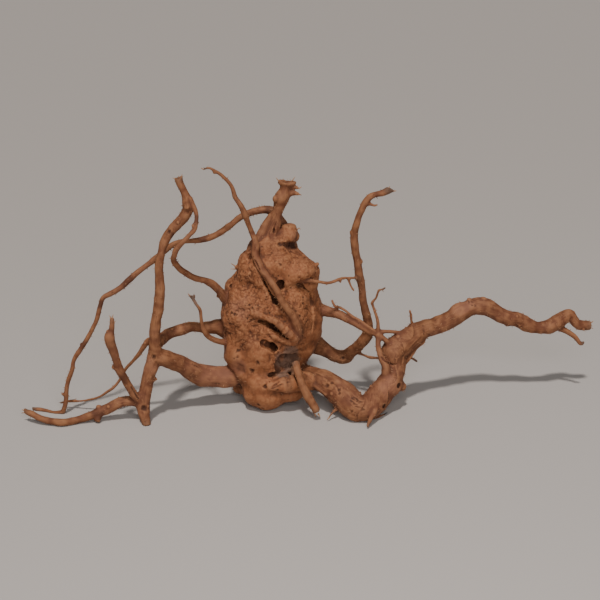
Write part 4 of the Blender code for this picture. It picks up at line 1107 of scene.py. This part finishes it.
@dataclass
class SkinMarks:
    """Marks on the skin: its grain, painted shade in its hollows, crests that are partly worn and
    partly a painted highlight, dark pits partly painted shade, coloured patches (some of the brown ones
    painted shade), tips and hairy places.

    Lengths, depths and radii are in millimetres.
    """

    fine_rounds: int = 3
    wide_rounds: int = 14
    fine_depth: float = 0.22
    wide_depth: float = 1.1
    fine_share: float = 0.6
    wide_share: float = 0.8
    patch_inside: float = 0.6
    patch_outside: float = 1.15
    tip_full: float = 0.3
    frayed_full: float = 0.5
    thin_radius: float = 2.0
    thick_radius: float = 7.0
    hairy_length: float = 22.0
    hairy_range: tuple[float, float] = (-0.15, 0.35)
    least_hairy: float = 0.25
    least_barbed: float = 0.15
    crumbly_range: tuple[float, float] = (0.4, 1.0)
    shortest_square: float = 1e-12
    tip_length: float = 7.0
    frayed_length: float = 3.5
    pit_edge: float = 1.5
    pit_share: float = 0.9
    pit_deepest: float = 1.6
    floor_bare: float = 2.8

    def write(self, skin: bpy.types.Object, relief: Relief, limb_map: LimbMap,
              burl_map: BurlMap) -> None:
        """Works out and writes every mark.

        Args:
            skin: The skin.
            relief: How rough the wood is.
            limb_map: The map of its limbs.
            burl_map: The map of its burl.
        """
        mesh = skin.data
        pit = self._press(mesh)
        hollow, worn_and_highlit_crest = self._curvature(mesh)
        count = len(mesh.vertices)
        grain = np.zeros((count, 3), np.float32)
        values = {mark: np.zeros(count, np.float32) for mark in Mark if mark is not Mark.GRAIN}
        laid = [(mark, self._spots(patches), ragged, length)
                for mark, patches, ragged, length in HAND_MARKS]
        for index, vert in enumerate(mesh.vertices):
            sample, distance = limb_map.nearest(vert.co)
            share = burl_map.share(vert.co) * relief.off_limb(distance, sample.radius)
            grain[index] = straightened(vert.co, sample)
            place = vert.co / MM
            limb = limb_map.limbs[sample.limb]
            thin = 1.0 - smooth_step(self.thin_radius, self.thick_radius, sample.radius / MM)
            clear = smooth_step(self.floor_bare, 2.0 * self.floor_bare, place.z)
            values[Mark.BURL][index] = share
            for mark, spots, ragged, length in laid:
                values[mark][index] = self._near(vert.co, spots, ragged * noise.noise(place / length))
            end = self._at_end(sample, self.tip_length, self.tip_full)
            values[Mark.TIP][index] = end * limb.end.value * (1.0 - share)
            worn = limb.end in (End.WORN, End.DARK)
            frayed = self._at_end(sample, self.frayed_length, self.frayed_full)
            values[Mark.FRAYED][index] = frayed * (1.0 - share) if worn else 0.0
            rough = relief.rough(place)
            values[Mark.ROUGH][index] = share * rough
            patchy = smooth_step(*self.hairy_range, noise.noise(place / self.hairy_length))
            hairy = self.least_hairy + (1.0 - self.least_hairy) * patchy
            barbed = self.least_barbed + (1.0 - self.least_barbed) * thin
            values[Mark.HAIRY][index] = clear * (1.0 - (1.0 - self.least_hairy) * share) * hairy
            values[Mark.BARBED][index] = clear * (1.0 - share) * barbed
            values[Mark.CRUMBLY][index] = clear * share * smooth_step(*self.crumbly_range, rough)
        # Painted shade: the skin's hollows, and the listed deep places
        values[Mark.PAINTED_SHADE][:] = np.maximum(hollow, values[Mark.PAINTED_SHADE])
        # Crests, for paler wear and a painted highlight
        values[Mark.CREST_WEAR_AND_HIGHLIGHT][:] = worn_and_highlit_crest
        # Dark pits and scratches, with a few strokes of painted shade
        values[Mark.PIT_AND_SHADE][:] = pit
        self._store(mesh, Mark.GRAIN, "FLOAT_VECTOR", grain)
        for mark, numbers in values.items():
            self._store(mesh, mark, "FLOAT", numbers)

    def _at_end(self, sample: Sample, length: float, full: float) -> float:
        """1 in the last share of a length before a limb's end, and 0 farther back than the length."""
        return 1.0 - smooth_step(full * length, length, sample.left / MM)

    def _store(self, mesh: bpy.types.Mesh, mark: Mark, kind: str, numbers: np.ndarray) -> None:
        """Writes one mark to the mesh's points."""
        attribute = mesh.attributes.new(mark.value, kind, "POINT")
        attribute.data.foreach_set("vector" if kind == "FLOAT_VECTOR" else "value", numbers.ravel())

    def _spots(self, patches: Sequence[Knot]) -> list[tuple[Vector, float]]:
        """Where the patches are in the room, and their reach in metres."""
        spots = []
        for patch in patches:
            place, reach = VIEWER.place(patch.across, patch.up, patch.back)
            spots.append((place, patch.radius * reach * MM))
        return spots

    def _near(self, place: Vector, spots: Sequence[tuple[Vector, float]], ragged: float) -> float:
        """How far a place belongs to the nearest patch, with a ragged edge."""
        nearest = min((place - centre).length / reach for centre, reach in spots)
        return 1.0 - smooth_step(self.patch_inside, self.patch_outside, nearest + ragged)

    def _read(self, mesh: bpy.types.Mesh, what: str) -> np.ndarray:
        """A vector of each point of the mesh, its place or its normal."""
        numbers = np.empty(len(mesh.vertices) * 3, np.float64)
        mesh.vertices.foreach_get(what, numbers)
        return numbers.reshape(-1, 3)

    def _press(self, mesh: bpy.types.Mesh) -> np.ndarray:
        """Presses the pits and scratches, and the strokes and spot of painted shade, into the skin.

        Args:
            mesh: The skin's mesh.

        Returns:
            How deep in a pit, scratch or stroke of painted shade each point is, from 0 to 1.
        """
        sight = Sight(mesh)
        places, normals = self._read(mesh, "co"), self._read(mesh, "normal")
        strokes = [(across, up, across, up, radius) for across, up, radius in PITS_AND_SHADE_SPOTS] + SCRATCHES_AND_SHADE_STROKES
        dark = np.zeros(len(places))
        sink = np.zeros(len(places))
        for across, up, to_across, to_up, radius in strokes:
            start, end = np.array(sight.place(across, up)), np.array(sight.place(to_across, to_up))
            run = end - start
            square = max(run @ run, self.shortest_square)
            along = ((places - start) @ run / square).clip(0, 1)[:, None]
            away = np.linalg.norm(places - start - along * run, axis=1) / (radius * MM)
            share = (self.pit_edge - away).clip(0, 1)
            dark = np.maximum(dark, share)
            sink = np.maximum(sink, share * min(self.pit_deepest, self.pit_share * radius))
        places -= normals * sink[:, None] * MM
        mesh.vertices.foreach_set("co", places.ravel())
        mesh.update()
        return dark

    def _curvature(self, mesh: bpy.types.Mesh) -> tuple[np.ndarray, np.ndarray]:
        """How hollow and how crested the skin is at each point, from 0 to 1, for painted shade in the
        hollows and a partly painted highlight on the crests.
        """
        count = len(mesh.vertices)
        places, normals = self._read(mesh, "co"), self._read(mesh, "normal")
        edges = edge_ends(mesh)
        ends = np.concatenate([edges[:, 0], edges[:, 1]])
        others = np.concatenate([edges[:, 1], edges[:, 0]])
        valence = np.bincount(ends, minlength=count).clip(1)[:, None]

        def relaxed(rounds: int) -> np.ndarray:
            """How far smoothing moves each point along its normal, in millimetres."""
            soft = places
            for _ in range(rounds):
                sums = np.stack([np.bincount(ends, soft[others, axis], count) for axis in range(3)], 1)
                soft = 0.5 * soft + 0.5 * sums / valence
            return ((soft - places) * normals).sum(1) / MM

        fine = relaxed(self.fine_rounds)
        wide = relaxed(self.wide_rounds)
        hollow = (fine / self.fine_depth).clip(0, 1) * self.fine_share
        hollow += (wide / self.wide_depth).clip(0, 1) * self.wide_share
        worn_and_highlit_crest = (-fine / self.fine_depth).clip(0, 1)
        return hollow.clip(0, 1), worn_and_highlit_crest


@dataclass(frozen=True)
class WoodFinish:
    """Bare, sun-tanned root wood, with its colours in linear light.

    The scales of the noises are in waves to a metre.
    """

    tan: tuple[float, float, float] = (0.154, 0.054, 0.0215)
    pink: tuple[float, float, float] = (0.15, 0.053, 0.0265)
    # Browner wood; the same colour gives the painted shade of some brown patches
    brown_and_shade: tuple[float, float, float] = (0.135, 0.042, 0.0175)
    streak: tuple[float, float, float] = (0.128, 0.038, 0.0155)
    # Pale wood; on the crests it is partly a painted highlight
    pale: tuple[float, float, float] = (0.44, 0.20, 0.09)
    burl: tuple[float, float, float] = (0.292, 0.099, 0.0375)
    blush: tuple[float, float, float] = (0.26, 0.105, 0.06)
    # Near-black colour of the painted shade in hollows and creases; the pits and scratches use it too
    hollow: tuple[float, float, float] = (0.040, 0.013, 0.006)
    bark: tuple[float, float, float] = (0.085, 0.028, 0.014)
    grey: tuple[float, float, float] = (0.15, 0.088, 0.062)
    tip: tuple[float, float, float] = (0.085, 0.055, 0.04)
    roughness: float = 0.78
    shine: float = 0.3
    limb_bump: float = 0.3
    burl_bump: float = 0.8
    bump_strength: float = 0.45
    bump_depth: float = 0.0005
    streak_scale: tuple[float, float, float] = (560.0, 560.0, 26.0)
    dash_scale: tuple[float, float, float] = (150.0, 150.0, 520.0)
    stretch_scale: tuple[float, float, float] = (60.0, 60.0, 24.0)

    def material(self) -> bpy.types.Material:
        """Builds the material, coat over coat, each where its cover is and up to its share."""
        paint = Paint(SLOT)
        place = paint.place()
        burl = paint.mark(Mark.BURL)
        rough = paint.mark(Mark.ROUGH)
        grain = paint.mark(Mark.GRAIN, "Vector")
        streaks = paint.noise(paint.scaled(grain, self.streak_scale), scale=1.0, detail=3.0)
        dashes = paint.noise(paint.scaled(grain, self.dash_scale), scale=1.0, detail=2.0)
        stretches = paint.noise(paint.scaled(grain, self.stretch_scale), scale=1.0, detail=2.0)
        fine = paint.noise(place, scale=850.0, detail=3.0)
        flecks = paint.noise(place, scale=430.0, detail=2.0)
        mottle = paint.noise(place, scale=150.0, detail=4.0)
        darker = paint.noise(place, scale=17.0, detail=3.0)
        pinker = paint.noise(place, scale=24.0, detail=2.0)
        colour = paint.mix(paint.ramp(pinker, 0.42, 0.6), self.tan, self.pink)
        for cover, share, coat in (
                (paint.ramp(darker, 0.52, 0.72), 0.65, self.brown_and_shade),
                (paint.ramp(streaks, 0.52, 0.75), 0.28, self.streak),
                (paint.ramp(streaks, 0.46, 0.3), 0.22, self.pale),
                (paint.ramp(dashes, 0.7, 0.78), 0.6, self.bark),
                (paint.ramp(stretches, 0.52, 0.64), 0.5, self.brown_and_shade),
                (burl, 0.7, self.burl),
                (paint.mark(Mark.BLUSH), 0.6, self.blush),
                # Browner wood, and painted shade in the patches under the knob and on the burl's left
                # flank
                (paint.mark(Mark.BROWN), 0.6, self.brown_and_shade),
                (paint.times(paint.ramp(mottle, 0.5, 0.7), 0.55), rough, self.streak),
                (paint.ramp(flecks, 0.65, 0.74), rough, self.bark),
                (paint.times(paint.ramp(flecks, 0.4, 0.32), 0.6), rough, self.pale),
                # Crests made paler: partly wear, partly a painted highlight
                (paint.mark(Mark.CREST_WEAR_AND_HIGHLIGHT), 0.45, self.pale),
                (paint.mark(Mark.GREY), 0.85, self.grey),
                (paint.mark(Mark.BARK), 0.8, self.bark),
                (paint.mark(Mark.TIP), 0.75, self.tip),
                # Painted shade in hollows, creases and the listed deep places, darker on the burl
                (paint.mark(Mark.PAINTED_SHADE), paint.plus(paint.times(burl, 0.3), 0.45), self.hollow),
                # Dark pits and scratches; the wide strokes under the knob and the spot under the left
                # limb are painted shade
                (paint.mark(Mark.PIT_AND_SHADE), 0.65, self.hollow)):
            colour = paint.mix(paint.times(cover, share), colour, coat)
        paint.feed("Base Color", colour)
        paint.feed("Roughness", self.roughness)
        paint.feed("Specular IOR Level", self.shine)
        roughness = paint.plus(paint.times(rough, self.burl_bump), self.limb_bump)
        height = paint.plus(paint.times(fine, roughness), streaks)
        paint.bump(height, self.bump_strength, self.bump_depth)
        return paint.material


@dataclass(frozen=True)
class FibreFinish:
    """Loose fibres and whiskers, paler than the wood that they grow from."""

    root: tuple[float, float, float] = (0.28, 0.12, 0.055)
    pale: tuple[float, float, float] = (0.42, 0.22, 0.11)
    roughness: float = 0.7

    def material(self) -> bpy.types.Material:
        """Builds the material."""
        paint = Paint("root_fibre")
        shade = paint.noise(paint.place(), scale=260.0, detail=2.0)
        paint.feed("Base Color", paint.mix(paint.ramp(shade, 0.35, 0.65), self.root, self.pale))
        paint.feed("Roughness", self.roughness)
        return paint.material


class NodeGrid:
    """Adds and wires the nodes of a tree."""

    def __init__(self, tree: bpy.types.NodeTree) -> None:
        """Keeps the tree."""
        self.tree = tree

    def add(self, kind: str, **settings: object) -> bpy.types.Node:
        """Adds a node with its settings."""
        node = self.tree.nodes.new(kind)
        for name, value in settings.items():
            setattr(node, name, value)
        return node

    def wire(self, source: bpy.types.NodeSocket, target: bpy.types.NodeSocket) -> None:
        """Wires one socket to another."""
        self.tree.links.new(source, target)

    def put(self, value: object, target: bpy.types.NodeSocket) -> None:
        """Wires a socket to the target, or sets a number, a vector or a colour on it."""
        if isinstance(value, bpy.types.NodeSocket):
            self.wire(value, target)
        elif isinstance(value, tuple) and len(target.default_value) == 4:
            target.default_value = (*value, 1.0)
        else:
            target.default_value = value

    def maths(self, operation: str, first: object, second: object) -> bpy.types.NodeSocket:
        """What an operation makes of two values, each a socket or a number."""
        node = self.add("ShaderNodeMath", operation=operation)
        self.put(first, node.inputs[0])
        self.put(second, node.inputs[1])
        return node.outputs["Value"]


class Paint(NodeGrid):
    """Wires up one material's nodes."""

    def __init__(self, name: str) -> None:
        """Starts a material with a plain shader."""
        self.material = bpy.data.materials.new(name)
        self.material.use_nodes = True
        super().__init__(self.material.node_tree)
        self.shader = self.tree.nodes["Principled BSDF"]

    def mark(self, mark: Mark, output: str = "Fac") -> bpy.types.NodeSocket:
        """Reads one of the skin's marks."""
        return self.add("ShaderNodeAttribute", attribute_name=mark.value).outputs[output]

    def place(self) -> bpy.types.NodeSocket:
        """The place on the piece, in metres."""
        return self.add("ShaderNodeTexCoord").outputs["Object"]

    def scaled(self, vector: bpy.types.NodeSocket,
               scale: tuple[float, float, float]) -> bpy.types.NodeSocket:
        """A vector times a scale for each axis."""
        node = self.add("ShaderNodeVectorMath", operation="MULTIPLY")
        self.wire(vector, node.inputs[0])
        node.inputs[1].default_value = scale
        return node.outputs["Vector"]

    def noise(self, vector: bpy.types.NodeSocket, scale: float, detail: float) -> bpy.types.NodeSocket:
        """Noise from 0 to 1."""
        node = self.add("ShaderNodeTexNoise")
        self.wire(vector, node.inputs["Vector"])
        node.inputs["Scale"].default_value = scale
        node.inputs["Detail"].default_value = detail
        return node.outputs["Fac"]

    def ramp(self, value: bpy.types.NodeSocket, low: float, high: float) -> bpy.types.NodeSocket:
        """A value stretched so that it runs from 0 at low to 1 at high."""
        node = self.add("ShaderNodeMapRange", interpolation_type="SMOOTHSTEP")
        self.wire(value, node.inputs["Value"])
        node.inputs["From Min"].default_value = low
        node.inputs["From Max"].default_value = high
        return node.outputs["Result"]

    def times(self, first: object, second: object) -> bpy.types.NodeSocket:
        """One value times another."""
        return self.maths("MULTIPLY", first, second)

    def plus(self, first: object, second: object) -> bpy.types.NodeSocket:
        """One value plus another."""
        return self.maths("ADD", first, second)

    def mix(self, share: object, first: object, second: object) -> bpy.types.NodeSocket:
        """Mixes two colours: share 0 gives the first, 1 the second."""
        node = self.add("ShaderNodeMix", data_type="RGBA")
        self.put(share, node.inputs[MIX_SHARE])
        self.put(first, node.inputs[MIX_FIRST])
        self.put(second, node.inputs[MIX_SECOND])
        return node.outputs[MIX_RESULT]

    def feed(self, name: str, value: object) -> None:
        """Gives the shader a value, or wires a socket to it, under the input's name."""
        self.put(value, self.shader.inputs[name])

    def bump(self, height: bpy.types.NodeSocket, strength: float, distance: float) -> None:
        """Roughens the shader's surface by a height."""
        node = self.add("ShaderNodeBump")
        node.inputs["Strength"].default_value = strength
        node.inputs["Distance"].default_value = distance
        self.wire(height, node.inputs["Height"])
        self.feed("Normal", node.outputs["Normal"])


@dataclass
class Scatter:
    """Small repeated things that grow out of the skin, placed by Geometry Nodes.

    Lengths are in millimetres, the density is in pieces to a square centimetre, and the tilt
    is in radians.
    """

    name: str
    mark: Mark
    density: float
    seed: int
    thickness: float
    tip: float
    shortest: float
    longest: float
    tilt: float
    bend: float
    sides: int = 4
    rings: int = 3
    sink: float = 0.3

    def build(self, skin: bpy.types.Object, material: bpy.types.Material) -> bpy.types.Object:
        """Grows the pieces on the skin and leaves them as one plain mesh.

        Args:
            skin: The skin that they grow out of.
            material: Their material.

        Returns:
            The object that holds them all.
        """
        holder = link(self.name, skin.data.copy())
        modifier = holder.modifiers.new("Scatter", "NODES")
        modifier.node_group = self._tree()
        sizes = {
            "Density": self.density * PER_SQUARE_METRE, "Shortest": self.shortest * MM,
            "Longest": self.longest * MM, "Thickness": self.thickness * MM,
            "Tip": self.tip * MM, "Tilt": self.tilt, "Bend": self.bend,
            "Sink": self.sink * MM, "Seed": self.seed, "Material": material,
        }
        for item in modifier.node_group.interface.items_tree:
            if item.name in sizes:
                modifier[item.identifier] = sizes[item.name]
        apply_modifiers(holder)
        return holder

    def _tree(self) -> bpy.types.NodeTree:
        """The nodes: points on the skin, a bent tapering stalk on each, and the material."""
        tree = bpy.data.node_groups.new(self.name, "GeometryNodeTree")
        face = tree.interface
        face.new_socket("Geometry", in_out="OUTPUT", socket_type="NodeSocketGeometry")
        face.new_socket("Geometry", in_out="INPUT", socket_type="NodeSocketGeometry")
        for name in ("Density", "Shortest", "Longest", "Thickness", "Tip", "Tilt", "Bend", "Sink"):
            face.new_socket(name, in_out="INPUT", socket_type="NodeSocketFloat")
        face.new_socket("Seed", in_out="INPUT", socket_type="NodeSocketInt")
        face.new_socket("Material", in_out="INPUT", socket_type="NodeSocketMaterial")
        given = tree.nodes.new("NodeGroupInput").outputs
        grid = NodeGrid(tree)

        mark = grid.add("GeometryNodeInputNamedAttribute", data_type="FLOAT")
        mark.inputs["Name"].default_value = self.mark.value
        density = grid.maths("MULTIPLY", given["Density"], mark.outputs["Attribute"])
        points = grid.add("GeometryNodeDistributePointsOnFaces")
        grid.wire(given["Geometry"], points.inputs["Mesh"])
        grid.wire(density, points.inputs["Density"])
        grid.wire(given["Seed"], points.inputs["Seed"])

        stalk = self._stalk(grid, given)
        length = grid.add("FunctionNodeRandomValue", data_type="FLOAT")
        grid.wire(given["Shortest"], length.inputs[2])
        grid.wire(given["Longest"], length.inputs[3])
        grid.wire(given["Seed"], length.inputs["Seed"])
        size = grid.add("ShaderNodeCombineXYZ")
        size.inputs["X"].default_value = 1.0
        size.inputs["Y"].default_value = 1.0
        stretch = grid.maths("DIVIDE", length.outputs[1], given["Longest"])
        grid.wire(stretch, size.inputs["Z"])

        lean = grid.add("FunctionNodeRandomValue", data_type="FLOAT_VECTOR")
        lean.inputs[0].default_value = (-1.0, -1.0, -math.pi)
        lean.inputs[1].default_value = (1.0, 1.0, math.pi)
        grid.wire(given["Seed"], lean.inputs["Seed"])
        reach = grid.add("ShaderNodeCombineXYZ")
        grid.wire(given["Tilt"], reach.inputs["X"])
        grid.wire(given["Tilt"], reach.inputs["Y"])
        reach.inputs["Z"].default_value = 1.0
        tilt = grid.add("ShaderNodeVectorMath", operation="MULTIPLY")
        grid.wire(lean.outputs[0], tilt.inputs[0])
        grid.wire(reach.outputs[0], tilt.inputs[1])
        turn = grid.add("FunctionNodeEulerToRotation")
        grid.wire(tilt.outputs[0], turn.inputs[0])
        turned = grid.add("FunctionNodeRotateRotation", rotation_space="LOCAL")
        grid.wire(points.outputs["Rotation"], turned.inputs[0])
        grid.wire(turn.outputs[0], turned.inputs[1])

        placed = grid.add("GeometryNodeInstanceOnPoints")
        grid.wire(points.outputs["Points"], placed.inputs["Points"])
        grid.wire(stalk, placed.inputs["Instance"])
        grid.wire(turned.outputs[0], placed.inputs["Rotation"])
        grid.wire(size.outputs[0], placed.inputs["Scale"])
        real = grid.add("GeometryNodeRealizeInstances")
        grid.wire(placed.outputs[0], real.inputs[0])
        coat = grid.add("GeometryNodeSetMaterial")
        grid.wire(real.outputs[0], coat.inputs["Geometry"])
        grid.wire(given["Material"], coat.inputs["Material"])
        end = tree.nodes.new("NodeGroupOutput")
        grid.wire(coat.outputs[0], end.inputs[0])
        return tree

    def _stalk(self, grid: NodeGrid, given: bpy.types.bpy_prop_collection) -> bpy.types.NodeSocket:
        """A tapering stalk that stands up, sunk a little and bent to one side."""
        cone = grid.add("GeometryNodeMeshCone", fill_type="TRIANGLE_FAN")
        cone.inputs["Vertices"].default_value = self.sides
        cone.inputs["Side Segments"].default_value = self.rings
        cone.inputs["Fill Segments"].default_value = 1
        grid.wire(given["Tip"], cone.inputs["Radius Top"])
        grid.wire(given["Thickness"], cone.inputs["Radius Bottom"])
        grid.wire(given["Longest"], cone.inputs["Depth"])
        position = grid.add("GeometryNodeInputPosition")
        parts = grid.add("ShaderNodeSeparateXYZ")
        grid.wire(position.outputs[0], parts.inputs[0])
        share = grid.maths("DIVIDE", parts.outputs["Z"], given["Longest"])
        square = grid.maths("MULTIPLY", share, share)
        bend = grid.maths("MULTIPLY", square, given["Bend"])
        sideways = grid.maths("MULTIPLY", bend, given["Longest"])
        down = grid.maths("MULTIPLY", given["Sink"], -1.0)
        offset = grid.add("ShaderNodeCombineXYZ")
        grid.wire(sideways, offset.inputs["X"])
        grid.wire(down, offset.inputs["Z"])
        moved = grid.add("GeometryNodeSetPosition")
        grid.wire(cone.outputs["Mesh"], moved.inputs["Geometry"])
        grid.wire(offset.outputs[0], moved.inputs["Offset"])
        return moved.outputs[0]


def hairs(material: bpy.types.Material) -> bpy.types.Object:
    """The single hairs and thin spikes as one piece."""
    maker = TubeMaker(sides=6, steps=4)
    piece = joined("hairs", [maker.tube(points) for points in HAIRS])
    piece.data.materials.append(material)
    piece.data.shade_smooth()
    return piece


WHISKERS = Scatter("whiskers", Mark.HAIRY, density=4.5, seed=11, thickness=0.24, tip=0.08,
                   shortest=0.8, longest=3.0, tilt=0.9, bend=0.4)
BARBS = Scatter("barbs", Mark.BARBED, density=0.8, seed=23, thickness=0.58, tip=0.18,
                shortest=0.9, longest=2.5, tilt=0.5, bend=0.25, sides=6, sink=0.6)
CRUMBS = Scatter("crumbs", Mark.CRUMBLY, density=9.0, seed=37, thickness=0.6, tip=0.25,
                 shortest=0.5, longest=1.0, tilt=1.2, bend=0.3, sides=5, rings=2, sink=0.4)
SPLINTERS = Scatter("splinters", Mark.FRAYED, density=8.0, seed=41, thickness=0.45, tip=0.12,
                    shortest=0.8, longest=2.4, tilt=0.35, bend=0.25, sides=5, sink=0.6)


@dataclass
class Studio:
    """The pale floor, the soft light and the camera. Lengths are in metres, angles in degrees."""

    floor_half: float = 9.0
    floor_drop: float = 0.0004
    floor_colour: tuple[float, float, float] = (0.455, 0.418, 0.395)
    floor_roughness: float = 0.9
    floor_shine: float = 0.2
    key_elevation: float = 66.0
    key_left: float = 12.0
    key_softness: float = 4.5
    key_strength: float = 2.5
    key_colour: tuple[float, float, float] = (1.0, 0.96, 0.91)
    front_place: tuple[float, float, float] = (0.15, -1.3, 0.75)
    front_size: float = 0.8
    front_watts: float = 10.0
    aim: tuple[float, float, float] = (0.0, 0.02, 0.08)
    sky: tuple[float, float, float] = (1.0, 0.98, 0.96)
    sky_strength: float = 0.165

    def build(self) -> None:
        """Sets up the floor, the lights and the camera."""
        self._floor()
        self._key()
        self._front()
        self._sky()
        bpy.context.scene.camera = VIEWER.camera()

    def _floor(self) -> None:
        """A plain pale floor, just under the feet."""
        mesh = bpy.data.meshes.new("floor")
        with edited(mesh) as shape:
            bmesh.ops.create_grid(shape, x_segments=1, y_segments=1, size=self.floor_half)
        mesh.transform(Matrix.Translation((0.0, 0.0, -self.floor_drop)))
        floor = link("floor", mesh)
        paint = Paint("pale_floor")
        paint.feed("Base Color", self.floor_colour)
        paint.feed("Roughness", self.floor_roughness)
        paint.feed("Specular IOR Level", self.floor_shine)
        mesh.materials.append(paint.material)

    def _key(self) -> None:
        """A softened far light from high in front, a little to the left."""
        data = bpy.data.lights.new("key", "SUN")
        data.angle = math.radians(self.key_softness)
        data.energy = self.key_strength
        data.color = self.key_colour
        tilt, turn = math.radians(90.0 - self.key_elevation), -math.radians(self.key_left)
        link("key", data).rotation_euler = (tilt, 0.0, turn)

    def _front(self) -> None:
        """A large dim light from in front, a little to the right."""
        data = bpy.data.lights.new("front", "AREA")
        data.shape = "DISK"
        data.size = self.front_size
        data.energy = self.front_watts
        light = link("front", data)
        light.location = self.front_place
        toward = Vector(self.aim) - light.location
        light.rotation_euler = toward.to_track_quat("-Z", "Y").to_euler()

    def _sky(self) -> None:
        """Even light from all round."""
        world = bpy.data.worlds.new("soft_sky")
        world.use_nodes = True
        background = world.node_tree.nodes["Background"]
        background.inputs["Color"].default_value = (*self.sky, 1.0)
        background.inputs["Strength"].default_value = self.sky_strength
        bpy.context.scene.world = world


def hand_over(piece: bpy.types.Object) -> None:
    """Lets a piece ride on the root and logs how many triangles it has."""
    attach(piece, BODY)
    faces = sum(len(face.vertices) - 2 for face in piece.data.polygons)
    LOG.info("%s: %d triangles", piece.name, faces)


def main() -> None:
    """Builds the skin and what grows out of it, lights the root and hands every piece over."""
    logging.basicConfig(level=logging.INFO, format="%(name)s: %(message)s")
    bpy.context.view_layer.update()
    relief = Relief()
    skin, limb_map, burl_map = RootSkin().build(relief)
    SkinMarks().write(skin, relief, limb_map, burl_map)
    wood = WoodFinish().material()
    skin.data.materials.clear()
    skin.data.materials.append(wood)
    fibre = FibreFinish().material()
    grown = [WHISKERS.build(skin, fibre), BARBS.build(skin, wood), CRUMBS.build(skin, wood),
             SPLINTERS.build(skin, wood), hairs(fibre)]
    for piece in [skin, *grown]:
        hand_over(piece)
    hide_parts(NODE)
    Studio().build()


if __name__ == "__main__":
    main()
